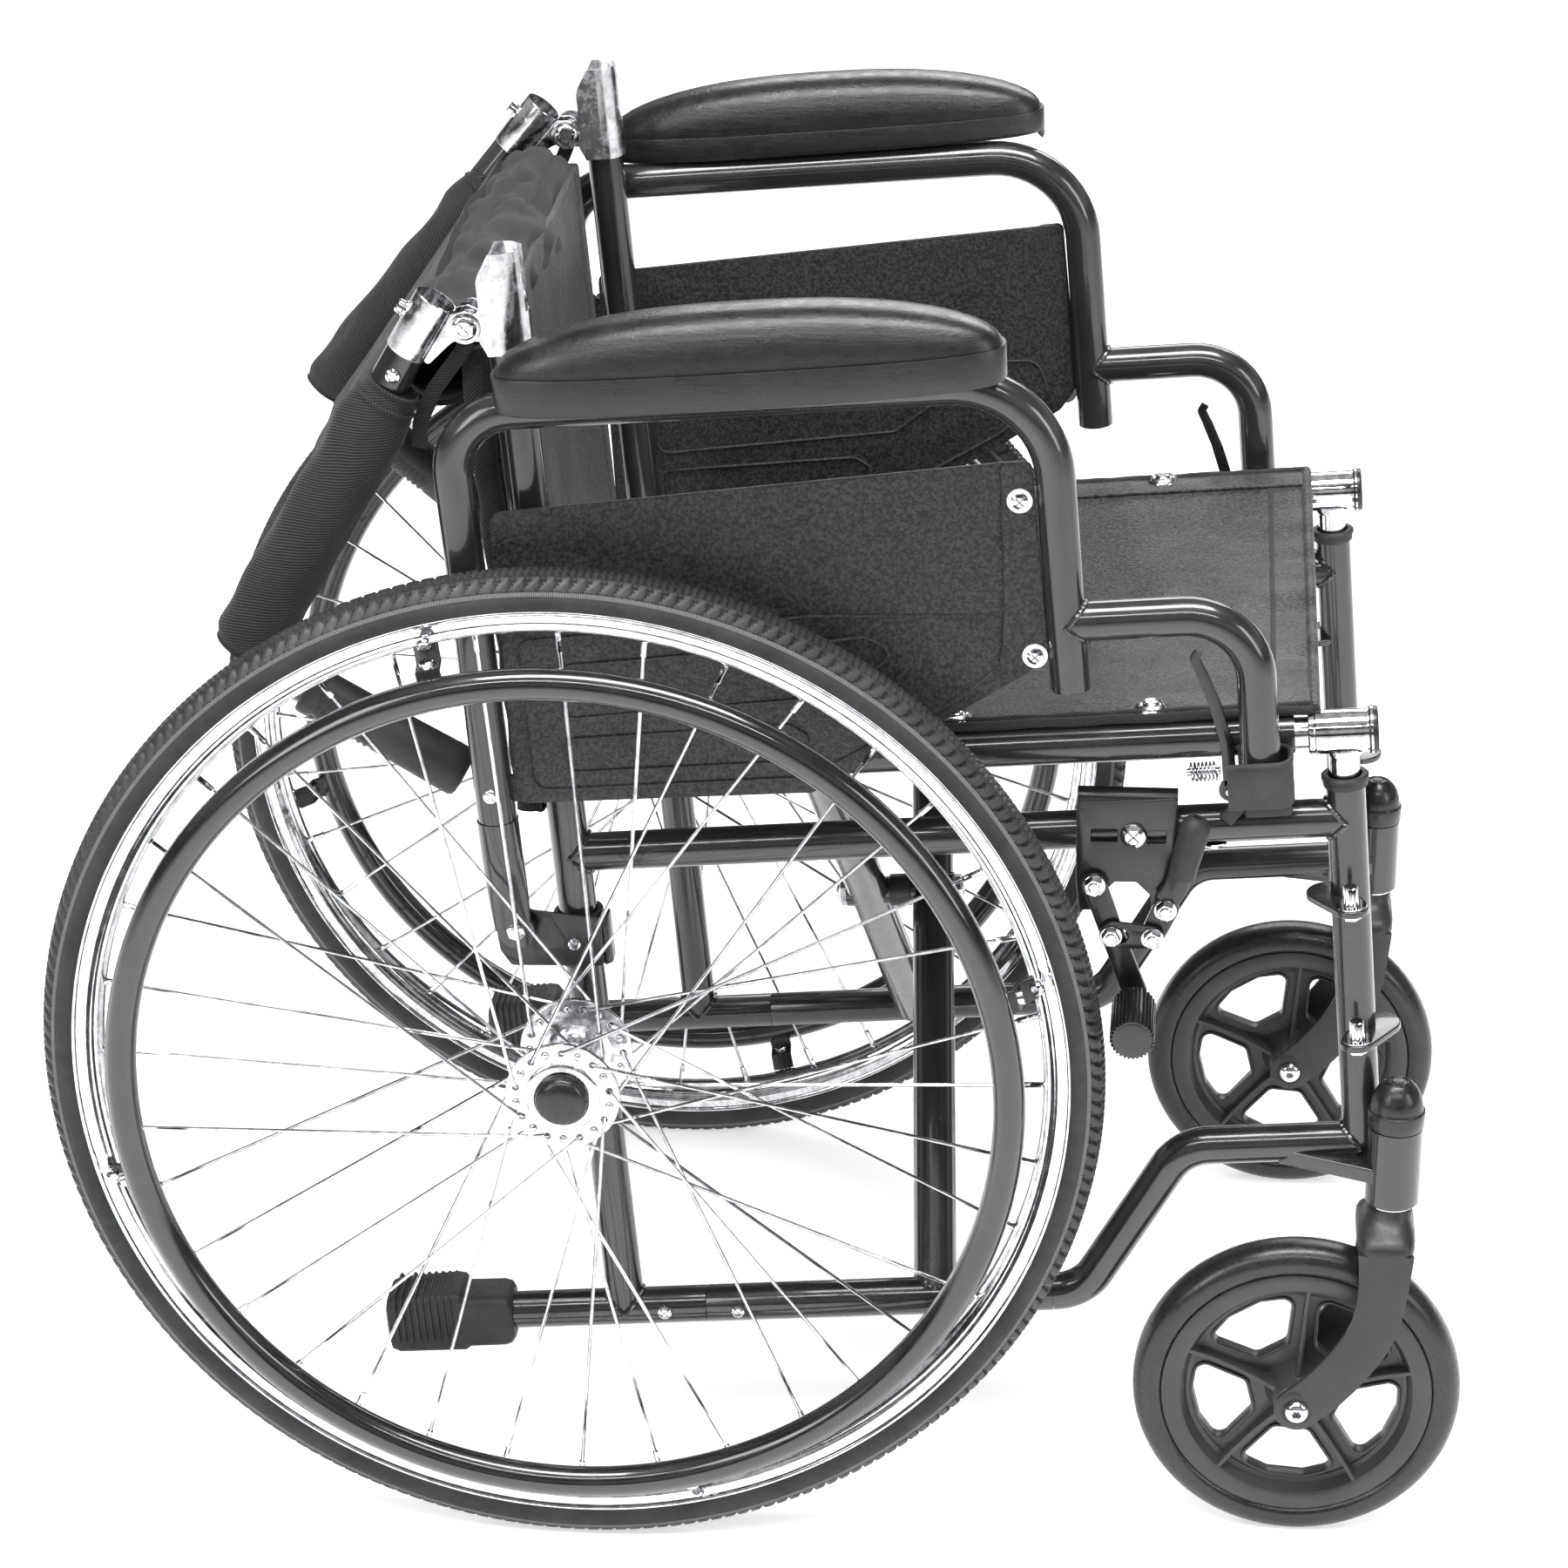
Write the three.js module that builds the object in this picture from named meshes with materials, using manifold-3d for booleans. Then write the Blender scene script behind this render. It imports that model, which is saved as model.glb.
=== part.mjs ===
// A folding manual wheelchair, stored with its half-folding backrest turned down.
// Millimetres, +Z up, +X forward, right-hand side at -Y. The origin is on the floor,
// under the middle of the chair's length and width.

import * as THREE from 'three';
import { mergeVertices } from 'three/addons/utils/BufferGeometryUtils.js';
import Module from 'manifold-3d';

const wasm = await Module();
wasm.setup();

// ---------------------------------------------------------------- driving dimensions
const DEG = Math.PI / 180;
const GAP = 0.3; // kept between neighbouring solids
const PITCH = 5 * DEG; // each side frame leans back by this much

// rear wheel
const WHEEL_R = 305;
const WHEEL_Y = 253.5;
const WHEEL_SIDES = 36;
const TYRE_HALF = 16.8;
const RIM_R = 286;
const RIM_IN_R = 269;
const RIM_HALF = 12.5;
const HUB_HALF = 36;
const FLANGE_R = 31;
const FLANGE_Y = [-32, 25]; // from the wheel's middle plane
const FLANGE_HALF = 2.8;
const SPOKES = 36;
const SPOKE_R = 1.2;
const SPOKE_SPREAD = 1.45;
const SPOKE_LEAN = 60 * DEG; // how far a spoke's hub end sits round from its rim end
const AXLE_R = 6;
const HANDRIM_R = 252;
const HANDRIM_TUBE_R = 9;
const HANDRIM_Y = 289.5;
const HANDRIM_CLIPS = 4;
const HANDRIM_CLIP_TURN = -Math.PI / 12;

// caster
const CASTER_R = 96;
const CASTER_X = 420.5;
const CASTER_Y = 216;
const CASTER_SIDES = 20;
const CASTER_HALF = 13;
const CASTER_SPOKES = 5;
const HEAD_X = 470.5;
const HEAD_R = 15;
const HEAD_Z0 = 222;
const HEAD_Z1 = 270;
const CAP_Z = 298;
const FORK_STEM_R = 8.4;
const FORK_LEG = 4.5;
const HUB_REACH = 26.7;

// side frame, in its own leaning axes: U forward along the rails, W up along the uprights
const SIDE_Y = 197;
const TUBE_R = 11.1;
const REAR_U = 31.5;
const FRONT_U = 472.6;
const LOW_W = 116;
const MID_W = 414;
const KNEE_W = 209.5;
const KNEE_U = [304.6, 368.6];
const BEND_R = 30;
const FRONT_TOP_W = 440.5;
const CANE_TOP_W = 726;
const TAIL_U = -100;
const BORE_R = 9.9;

// cross brace and seat rails
const RAIL_W = 466.3;
const RAIL_U = [62, 446, 486];
const SPIGOT_R = 9;
const FOOT_U = [81, 287];
const FOOT_PIN_R = 8.5;
const BRACE_R = 12.7;
const BRACE_U = { l: 217, r: 177 }; // by the side whose seat rail the arm carries
const BOLT_R = 5;
const POST_R = 8.6;
const POST_FOOT_W = 232;

// folding backrest
const HINGE_U = 10.5;
const HINGE_W = 733;
const BACK_FOLD = { r: 145 * DEG, l: 136.5 * DEG };
const MOUTH_W = 731;
const PIN_W = MOUTH_W + 14;
const SLEEVE_R = 12;
const CORNER_W = 971.7;
const CANE_BEND_R = 38;
const GRIP_R = 15;
const GRIP_FROM = 44; // measured back from the cane's corner
const GRIP_TO = 146;

// armrest
const ARM_Y = 223.9;
const ARM_PIVOT = [-1.1, 377.5];
const ARM_REAR_U = -3;
const ARM_TOP_W = 690;
const ARM_FRONT_U = 325;
const ARM_BRANCH_W = 550;
const ARM_LEG_U = 427;
const ARM_LEG_FOOT_W = 444;
const PAD_Y = [-268, -214];
const PAD_U = [30, 303];

// brake, in upright axes
const BRAKE_Y = -208.6;
const BRAKE_A = [294.6, 415.3];
const BRAKE_B = [305, 386.2];
const BRAKE_C = [328.3, 385.5];
const BRAKE_D = [335.1, 401.3];
const DRUM = [319, 347];
const DRUM_R = 12.5;

// soft parts
const SEAT_U = [62, 456];
const SEAT_W = 479.2;
const CLOTH = 5;
const BACK_HALF = 176;
const LOWER_SHEET_U = 12;
const UPPER_SHEET_W = [795, 930];
const ROLL_U = -12;
const ROLL_W = 703;
const ROLL_R = 26;

const ORIGIN_X = (CASTER_X + CASTER_R - WHEEL_R) / 2;

// ---------------------------------------------------------------- materials
const finish = (color, roughness, metalness) => ({ color, roughness, metalness });
const STEEL = finish(0x1c1c1e, 0.3, 0.6);
const CHROME = finish(0xd8d8da, 0.12, 1);
const RUBBER = finish(0x181818, 0.85, 0);
const PLASTIC = finish(0x1a1a1a, 0.5, 0);
const CLOTH_LOOK = finish(0x202022, 0.9, 0);
const VINYL = finish(0x141414, 0.45, 0);

// ---------------------------------------------------------------- shape helpers
const V = (x, y, z) => new THREE.Vector3(x, y, z);
const leaning = new THREE.Matrix4().makeRotationY(-PITCH);
const at = (u, y, w) => V(u, y, w).applyMatrix4(leaning);

function closed(geometry) {
  const bare = geometry.clone();
  bare.deleteAttribute('normal');
  bare.deleteAttribute('uv');
  const merged = mergeVertices(bare, 1e-4);
  const position = merged.attributes.position;
  const faces = [];
  let volume = 0;
  const [a, b, c] = [V(0, 0, 0), V(0, 0, 0), V(0, 0, 0)];
  for (let i = 0; i < merged.index.count; i += 3) {
    const [p, q, r] = [0, 1, 2].map((k) => merged.index.getX(i + k));
    if (p === q || q === r || r === p) continue;
    faces.push([p, q, r]);
    a.fromBufferAttribute(position, p);
    b.fromBufferAttribute(position, q);
    c.fromBufferAttribute(position, r);
    volume += a.dot(b.cross(c));
  }
  const turned = volume < 0 ? faces.map(([p, q, r]) => [p, r, q]) : faces;
  return { vertices: new Float32Array(position.array), triangles: new Uint32Array(turned.flat()) };
}

function solid(shape) {
  if (!shape.isBufferGeometry) return shape;
  const { vertices, triangles } = closed(shape);
  return new wasm.Manifold(new wasm.Mesh({ numProp: 3, vertProperties: vertices, triVerts: triangles }));
}

const join = (...shapes) => shapes.flat().map(solid).reduce((whole, piece) => whole.add(piece));
const cut = (whole, ...tools) => tools.flat().map(solid).reduce((rest, tool) => rest.subtract(tool), solid(whole));

function geometryOf(shape) {
  let vertices;
  let triangles;
  if (shape.isBufferGeometry) {
    ({ vertices, triangles } = closed(shape));
  } else {
    const mesh = shape.getMesh();
    vertices = new Float32Array(mesh.vertProperties);
    triangles = new Uint32Array(mesh.triVerts);
  }
  const geometry = new THREE.BufferGeometry();
  geometry.setAttribute('position', new THREE.BufferAttribute(vertices, 3));
  geometry.setIndex(new THREE.BufferAttribute(triangles, 1));
  geometry.computeVertexNormals();
  return geometry;
}

function mirrored(geometry) {
  const other = geometry.clone().scale(1, -1, 1);
  const index = other.index.array;
  for (let i = 0; i < index.length; i += 3) {
    [index[i + 1], index[i + 2]] = [index[i + 2], index[i + 1]];
  }
  other.computeVertexNormals();
  return other;
}

// A straight round bar between two points.
function rod(from, to, radius, sides = 12) {
  const along = to.clone().sub(from);
  const bar = new THREE.CylinderGeometry(radius, radius, along.length(), sides);
  const turn = new THREE.Quaternion().setFromUnitVectors(V(0, 1, 0), along.clone().normalize());
  bar.applyQuaternion(turn);
  const middle = from.clone().add(to).multiplyScalar(0.5);
  return bar.translate(middle.x, middle.y, middle.z);
}

// A bar across the chair at one place of the side view.
const acrossAt = (x, z, y0, y1, radius, sides = 12) => rod(V(x, y0, z), V(x, y1, z), radius, sides);
const acrossLeaning = (u, w, y0, y1, radius, sides = 12) => rod(at(u, y0, w), at(u, y1, w), radius, sides);

// A path that extrudes with one step between neighbouring knots.
class KnotPath extends THREE.Curve {
  constructor(knots) {
    super();
    this.knots = knots;
  }

  getPoint(t, target = V(0, 0, 0)) {
    const place = t * (this.knots.length - 1);
    const i = Math.min(Math.floor(place + 1e-9), this.knots.length - 2);
    return target.lerpVectors(this.knots[i], this.knots[i + 1], place - i);
  }

  getPointAt(t, target) {
    return this.getPoint(t, target);
  }

  getSpacedPoints() {
    return this.knots.map((knot) => knot.clone());
  }

  getTangentAt(t, target = V(0, 0, 0)) {
    const i = Math.round(t * (this.knots.length - 1));
    const before = this.knots[Math.max(i - 1, 0)];
    const after = this.knots[Math.min(i + 1, this.knots.length - 1)];
    return target.subVectors(after, before).normalize();
  }
}

// Corners are replaced by arcs of the given radii; the ends stay.
function roundedPath(points, radii, steps = 4) {
  const knots = [points[0]];
  for (let i = 1; i < points.length - 1; i += 1) {
    const back = points[i - 1].clone().sub(points[i]).normalize();
    const on = points[i + 1].clone().sub(points[i]).normalize();
    const half = back.angleTo(on) / 2;
    const radius = radii[i - 1];
    const centre = back.clone().add(on).normalize().multiplyScalar(radius / Math.sin(half)).add(points[i]);
    const start = back.clone().multiplyScalar(radius / Math.tan(half)).add(points[i]).sub(centre);
    const end = on.clone().multiplyScalar(radius / Math.tan(half)).add(points[i]).sub(centre);
    const sweep = start.angleTo(end);
    for (let k = 0; k <= steps; k += 1) {
      const f = k / steps;
      const a = start.clone().multiplyScalar(Math.sin((1 - f) * sweep) / Math.sin(sweep));
      knots.push(a.add(end.clone().multiplyScalar(Math.sin(f * sweep) / Math.sin(sweep))).add(centre));
    }
  }
  knots.push(points[points.length - 1]);
  return knots;
}

function bentTube(points, radii, radius, sides = 12) {
  const knots = roundedPath(points, radii);
  const section = new THREE.Shape();
  for (let i = 0; i < sides; i += 1) {
    const turn = (2 * Math.PI * i) / sides;
    const place = [radius * Math.cos(turn), radius * Math.sin(turn)];
    if (i === 0) section.moveTo(...place);
    else section.lineTo(...place);
  }
  return new THREE.ExtrudeGeometry(section, { steps: knots.length - 1, extrudePath: new KnotPath(knots) });
}

// The outline round a few circles [a, b, radius].
function hull(circles, sides = 16) {
  const outline = [];
  for (let i = 0; i < sides; i += 1) {
    const turn = (2 * Math.PI * i) / sides;
    const [c, s] = [Math.cos(turn), Math.sin(turn)];
    const reach = circles.map(([a, b, r]) => a * c + b * s + r);
    const [a, b, r] = circles[reach.indexOf(Math.max(...reach))];
    outline.push([a + r * c, b + r * s]);
  }
  return outline;
}

// A plate whose outline lies in the side view, from y0 to y1.
function sidePlate(outline, y0, y1) {
  const shape = new THREE.Shape(outline.map(([a, b]) => new THREE.Vector2(a, b)));
  const plate = new THREE.ExtrudeGeometry(shape, { depth: y1 - y0, bevelEnabled: false });
  return plate.rotateX(Math.PI / 2).translate(0, y1, 0);
}

// A plate whose outline lies in the plan view, from z0 to z1.
function planPlate(outline, z0, z1) {
  const shape = new THREE.Shape(outline.map(([a, b]) => new THREE.Vector2(a, b)));
  return new THREE.ExtrudeGeometry(shape, { depth: z1 - z0, bevelEnabled: false }).translate(0, 0, z0);
}

// A plate whose outline lies in the front view, as [y, z], from x0 to x1.
function frontPlate(outline, x0, x1) {
  const shape = new THREE.Shape(outline.map(([a, b]) => new THREE.Vector2(a, b)));
  const plate = new THREE.ExtrudeGeometry(shape, { depth: x1 - x0, bevelEnabled: false });
  return plate.rotateX(Math.PI / 2).rotateZ(Math.PI / 2).translate(x0, 0, 0);
}

function block(x, y, z) {
  const box = new THREE.BoxGeometry(x[1] - x[0], y[1] - y[0], z[1] - z[0]);
  return box.translate((x[0] + x[1]) / 2, (y[0] + y[1]) / 2, (z[0] + z[1]) / 2);
}

const lean = (geometry) => geometry.applyMatrix4(leaning);

// Turns a shape made for the raised backrest about the hinge into its folded place.
function foldedBack(geometry, fold) {
  geometry.translate(-HINGE_U, 0, -HINGE_W).rotateY(-fold).translate(HINGE_U, 0, HINGE_W);
  return lean(geometry);
}

// A ring or turned part about an axis across the chair; the profile is [radius, y].
// Flats face straight down, so a wheel of apothem R stands R above the floor.
function turned(profile, sides, x, y, z) {
  const grow = 1 / Math.cos(Math.PI / sides);
  const points = profile.map(([r, t]) => new THREE.Vector2(r * grow, t));
  if (profile[0][0] > 0) points.push(points[0].clone());
  return new THREE.LatheGeometry(points, sides, Math.PI / sides).translate(x, y, z);
}

// ---------------------------------------------------------------- scene
const chair = new THREE.Group();
chair.position.x = -ORIGIN_X;

function place(name, geometry, look) {
  const mesh = new THREE.Mesh(geometry, new THREE.MeshStandardMaterial(look));
  mesh.name = name;
  chair.add(mesh);
}

// Adds the right-hand piece and its mirror image. A function makes a shape for its side's fold.
function pair(name, shape, look) {
  const made = (side) => geometryOf(typeof shape === 'function' ? shape(BACK_FOLD[side]) : shape);
  place(`${name}_r`, made('r'), look);
  place(`${name}_l`, mirrored(made('l')), look);
}

// ---------------------------------------------------------------- side frame
function hangerPlate(w, lobe) {
  const pinY = -SIDE_Y - 22;
  const outline = hull([[FRONT_U + lobe, -SIDE_Y, 13], [FRONT_U, pinY, 10]]);
  const pin = rod(at(FRONT_U, pinY, w - 8), at(FRONT_U, pinY, w + 14), 4, 8);
  return [lean(planPlate(outline, w - 2, w + 2)), pin];
}

function sideFrame() {
  const y = -SIDE_Y;
  const knee = [at(FOOT_U[1] + GAP, y, LOW_W), at(KNEE_U[0], y, LOW_W), at(KNEE_U[1], y, KNEE_W)];
  const gusset = [[404, -190], [440, -186], [480, -208], [478, -226], [455, -226]];
  const whole = join(
    rod(at(REAR_U, y, LOW_W), at(REAR_U, y, CANE_TOP_W), TUBE_R),
    rod(at(TAIL_U, y, LOW_W), at(FOOT_U[0] - GAP, y, LOW_W), TUBE_R),
    rod(at(FOOT_U[0] - 8, y, LOW_W), at(FOOT_U[1] + 8, y, LOW_W), FOOT_PIN_R),
    bentTube([...knee, at(FRONT_U, y, KNEE_W)], [BEND_R, BEND_R], TUBE_R),
    rod(at(REAR_U, y, MID_W), at(FRONT_U, y, MID_W), TUBE_R),
    rod(at(FRONT_U, y, KNEE_W - 8), at(FRONT_U, y, FRONT_TOP_W), TUBE_R),
    rod(V(HEAD_X, -CASTER_Y, HEAD_Z0), V(HEAD_X, -CASTER_Y, HEAD_Z1), HEAD_R, 16),
    planPlate(gusset, 236, 245.5),
    hangerPlate(367, -12),
    hangerPlate(283, 12),
  );
  const postBore = rod(at(FRONT_U, y, 226), at(FRONT_U, y, FRONT_TOP_W + 5), BORE_R);
  const stemBore = rod(V(HEAD_X, -CASTER_Y, HEAD_Z0 - 5), V(HEAD_X, -CASTER_Y, HEAD_Z1 + 5), FORK_STEM_R + 0.8);
  const axleBore = acrossAt(0, WHEEL_R, y - 20, y + 20, AXLE_R + 0.7);
  return cut(whole, postBore, stemBore, axleBore);
}

function tipFoot() {
  const y = -SIDE_Y;
  const outline = [[-112, 99], [-108, 97], [-40, 97], [-36, 101], [-36, 132], [-66, 136], [-110, 134], [-112, 131]];
  const body = lean(sidePlate(outline, y - 17, y + 17));
  return cut(body, rod(at(TAIL_U - 2, y, LOW_W), at(-30, y, LOW_W), TUBE_R + 0.6));
}

function stemCap() {
  const profile = [[0, 0], [16, 0], [16, 10], [13.5, 19], [8.5, 25.5], [0, CAP_Z - HEAD_Z1 - GAP]];
  const dome = new THREE.LatheGeometry(profile.map(([r, h]) => new THREE.Vector2(r, h)), 16);
  return dome.rotateX(Math.PI / 2).translate(HEAD_X, -CASTER_Y, HEAD_Z1 + GAP);
}

// ---------------------------------------------------------------- folding backrest
function wrapOutline(centreU, centreY, inner, outer, tail) {
  const arc = (radius, from, to) =>
    Array.from({ length: 7 }, (_, i) => {
      const turn = from + ((to - from) * i) / 6;
      return [centreU + radius * Math.cos(turn), centreY + radius * Math.sin(turn)];
    });
  return [
    [tail, centreY - outer],
    ...arc(outer, -Math.PI / 2, Math.PI / 2),
    [tail, centreY + outer],
    [tail, centreY + inner],
    ...arc(inner, Math.PI / 2, -Math.PI / 2),
    [tail, centreY - inner],
  ];
}

function lowerHingeSleeve() {
  const y = -SIDE_Y;
  const [inner, outer] = [SLEEVE_R + GAP, SLEEVE_R + 1.3];
  const [w0, w1] = [716, 773];
  const wrap = lean(planPlate(wrapOutline(REAR_U, y, inner, outer, REAR_U - 1), w0, w1));
  const cheekOutline = [
    [REAR_U, w0], [REAR_U, w1], [REAR_U - 5, w1], [REAR_U - 12, w1 - 14],
    [REAR_U - 12, HINGE_W + 9], [REAR_U - 11, HINGE_W - 9], [REAR_U - 10, w0],
  ];
  const ear = hull([[HINGE_U, HINGE_W, 8], [REAR_U - 4, HINGE_W, 9]]);
  const cheeks = [[y - outer, y - inner], [y + inner, y + outer]].flatMap(([a, b]) => [
    lean(sidePlate(cheekOutline, a, b)),
    lean(sidePlate(ear, a, b)),
  ]);
  const collar = cut(
    rod(at(REAR_U, y, w0), at(REAR_U, y, CANE_TOP_W + 1), SLEEVE_R + 0.8),
    rod(at(REAR_U, y, w0 - 2), at(REAR_U, y, CANE_TOP_W + 3), TUBE_R + 0.2),
  );
  const lockSlot = lean(block([REAR_U + 5, REAR_U + 20], [y - 5.5, y + 5.5], [PIN_W - 7, w1 + 5]));
  return cut(join(wrap, cheeks, collar), acrossLeaning(HINGE_U, HINGE_W, y - 20, y + 20, 4.5), lockSlot);
}

function hingeBolt() {
  const y = -SIDE_Y;
  const head = SLEEVE_R + 1.3 + GAP;
  return join(
    acrossLeaning(HINGE_U, HINGE_W, y - head - 1.4, y + head + 1.4, 4),
    acrossLeaning(HINGE_U, HINGE_W, y - head - 1.4, y - head, 7),
    acrossLeaning(HINGE_U, HINGE_W, y + head, y + head + 1.4, 7),
  );
}

// The folded pieces take the fold of their side: the two canes hang at slightly different angles.
function raisedRod(fold, from, to, radius, sides = 12) {
  return foldedBack(rod(V(from[0], -SIDE_Y, from[1]), V(to[0], -SIDE_Y, to[1]), radius, sides), fold);
}

function upperHingeSleeve(fold) {
  const y = -SIDE_Y;
  const top = MOUTH_W + 35;
  const web = hull([[HINGE_U, HINGE_W, 7], [REAR_U - 14, MOUTH_W + 6, 5], [REAR_U - 12, top - 4, 4]]);
  const whole = join(
    raisedRod(fold, [REAR_U, MOUTH_W], [REAR_U, top], SLEEVE_R),
    foldedBack(sidePlate(web, y - 7, y + 7), fold),
    raisedRod(fold, [REAR_U + 6, PIN_W], [REAR_U + SLEEVE_R + 5, PIN_W], 4, 8),
  );
  const bore = raisedRod(fold, [REAR_U, MOUTH_W - 5], [REAR_U, top + 5], TUBE_R + 0.2);
  return cut(whole, bore, acrossLeaning(HINGE_U, HINGE_W, y - 20, y + 20, 4.5));
}

function upperCane(fold) {
  const y = -SIDE_Y;
  const line = [V(REAR_U, y, MOUTH_W + 9), V(REAR_U, y, CORNER_W), V(REAR_U - GRIP_TO + 8, y, CORNER_W)];
  return foldedBack(bentTube(line, [CANE_BEND_R], TUBE_R), fold);
}

function pushGrip(fold) {
  const [near, far] = [REAR_U - GRIP_FROM, REAR_U - GRIP_TO];
  const body = join(
    raisedRod(fold, [near, CORNER_W], [far, CORNER_W], GRIP_R - 1),
    raisedRod(fold, [near, CORNER_W], [near - 8, CORNER_W], GRIP_R),
  );
  return cut(body, raisedRod(fold, [near + 5, CORNER_W], [far + 6, CORNER_W], TUBE_R + 0.6));
}

// ---------------------------------------------------------------- rear wheel
// Spokes leave each flange in two sets that lean opposite ways, a little apart so that they pass.
function spoke(i) {
  const rimTurn = (i * 2 * Math.PI) / SPOKES;
  const [flange, rimSide] = i % 2 === 0 ? [FLANGE_Y[0], -3] : [FLANGE_Y[1], 3];
  const leanWay = i % 4 < 2 ? 1 : -1;
  const spread = leanWay * SPOKE_SPREAD;
  const point = (r, turn, y) => V(r * Math.sin(turn), -WHEEL_Y + y, WHEEL_R + r * Math.cos(turn));
  const hubEnd = point(FLANGE_R - 3.5, rimTurn + leanWay * SPOKE_LEAN, flange + spread);
  return rod(hubEnd, point(RIM_IN_R + 4, rimTurn, rimSide + spread), SPOKE_R, 3);
}

function wheelBody() {
  const rim = [
    [RIM_IN_R, -6], [RIM_IN_R + 5, -RIM_HALF], [RIM_R, -RIM_HALF],
    [RIM_R, RIM_HALF], [RIM_IN_R + 5, RIM_HALF], [RIM_IN_R, 6],
  ];
  const bore = AXLE_R + 0.8;
  const [outer, inner] = FLANGE_Y;
  const hub = [
    [bore, -HUB_HALF], [22, -HUB_HALF], [22, outer - FLANGE_HALF], [FLANGE_R, outer - FLANGE_HALF],
    [FLANGE_R, outer + FLANGE_HALF], [16, outer + FLANGE_HALF + 1], [16, inner - FLANGE_HALF - 1],
    [FLANGE_R, inner - FLANGE_HALF], [FLANGE_R, inner + FLANGE_HALF], [bore, inner + FLANGE_HALF + 1],
  ];
  return join(
    turned(rim, WHEEL_SIDES, 0, -WHEEL_Y, WHEEL_R),
    turned(hub, SPOKES / 2, 0, -WHEEL_Y, WHEEL_R),
    Array.from({ length: SPOKES }, (_, i) => spoke(i)),
  );
}

function rearTyre() {
  const half = [[RIM_R + 0.6, 12], [291, 16], [296.5, TYRE_HALF], [302, 12], [WHEEL_R, 5]];
  const profile = [...half, ...half.map(([r, t]) => [r, -t]).reverse()];
  return turned(profile, WHEEL_SIDES, 0, -WHEEL_Y, WHEEL_R);
}

function handrim() {
  const profile = Array.from({ length: 8 }, (_, i) => {
    const turn = ((i + 0.5) * Math.PI) / 4;
    return [HANDRIM_R + HANDRIM_TUBE_R * Math.cos(turn), HANDRIM_TUBE_R * Math.sin(turn)];
  });
  const clips = Array.from({ length: HANDRIM_CLIPS }, (_, i) => {
    const turn = HANDRIM_CLIP_TURN + (i * 2 * Math.PI) / HANDRIM_CLIPS;
    const point = (r, y) => V(r * Math.sin(turn), y, WHEEL_R + r * Math.cos(turn));
    return rod(point(HANDRIM_R, -HANDRIM_Y + 4), point(RIM_IN_R + 9, -WHEEL_Y - RIM_HALF - 3.6), 3.6, 6);
  });
  return join(turned(profile, WHEEL_SIDES, 0, -HANDRIM_Y, WHEEL_R), clips);
}

// The axle bolt, its inner nut and spacer, and the domed cap on its outer end.
function axle() {
  const cap = [[0, 0], [16, 0], [15.5, -3], [11, -7], [0, -8.5]];
  const outer = -WHEEL_Y - HUB_HALF - GAP;
  return join(
    turned(cap.reverse(), 16, 0, outer, WHEEL_R),
    acrossAt(0, WHEEL_R, outer - 1, -SIDE_Y + 16, AXLE_R),
    acrossAt(0, WHEEL_R, -SIDE_Y + 12, -SIDE_Y + 17, 10, 6),
    acrossAt(0, WHEEL_R, -SIDE_Y - TUBE_R - 1, -WHEEL_Y + 29.5, 9),
  );
}

// ---------------------------------------------------------------- caster
function casterFork() {
  const legLine = [
    [467.5, 204, 16.5], [467.5, 182, 13.8], [463.5, 153, 13.5],
    [451, 130, 13.5], [438, 111, 13.5], [CASTER_X, CASTER_R, 13.5],
  ];
  const inner = HUB_REACH + GAP;
  const outer = inner + FORK_LEG;
  const legs = [-1, 1].flatMap((side) =>
    legLine.slice(1).map((circle, i) => {
      const ends = [-CASTER_Y + side * inner, -CASTER_Y + side * outer].sort((a, b) => a - b);
      return sidePlate(hull([legLine[i], circle], 12), ...ends);
    }),
  );
  const arch = [
    [-outer, 190], [-outer, 205], [-13, HEAD_Z0 - 1.5], [13, HEAD_Z0 - 1.5], [outer, 205],
    [outer, 190], [inner, 190], [inner - 4, 200], [4 - inner, 200], [-inner, 190],
  ];
  const crown = frontPlate(arch.map(([y, z]) => [y - CASTER_Y, z]), 454, 484);
  const stem = rod(V(HEAD_X, -CASTER_Y, 200), V(HEAD_X, -CASTER_Y, HEAD_Z1 - 4), FORK_STEM_R);
  const level = block([400, 500], [-CASTER_Y - 40, -CASTER_Y + 40], [HEAD_Z0 - 1.5, HEAD_Z0 + 40]);
  return cut(
    join(cut(join(legs, crown), level), stem),
    acrossAt(CASTER_X, CASTER_R, -CASTER_Y - 40, -CASTER_Y + 40, 4.7),
  );
}

function casterWheel() {
  const rim = [[60, -7], [66, -11], [75, -11], [75, 11], [66, 11], [60, 7]];
  const hub = [[4.8, -HUB_REACH], [13, -HUB_REACH], [13, HUB_REACH], [4.8, HUB_REACH]];
  const bars = Array.from({ length: CASTER_SPOKES }, (_, i) => {
    const bar = block([-6, 6], [-8, 8], [10, 62]);
    return bar.rotateY(((i + 0.5) * 2 * Math.PI) / CASTER_SPOKES).translate(CASTER_X, -CASTER_Y, CASTER_R);
  });
  return join(
    turned(rim, CASTER_SIDES, CASTER_X, -CASTER_Y, CASTER_R),
    turned(hub, 12, CASTER_X, -CASTER_Y, CASTER_R),
    bars,
  );
}

function casterTyre() {
  const half = [[75.4, 10.5], [82, CASTER_HALF], [90, 11.5], [CASTER_R, 4]];
  const profile = [...half, ...half.map(([r, t]) => [r, -t]).reverse()];
  return turned(profile, CASTER_SIDES, CASTER_X, -CASTER_Y, CASTER_R);
}

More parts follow.
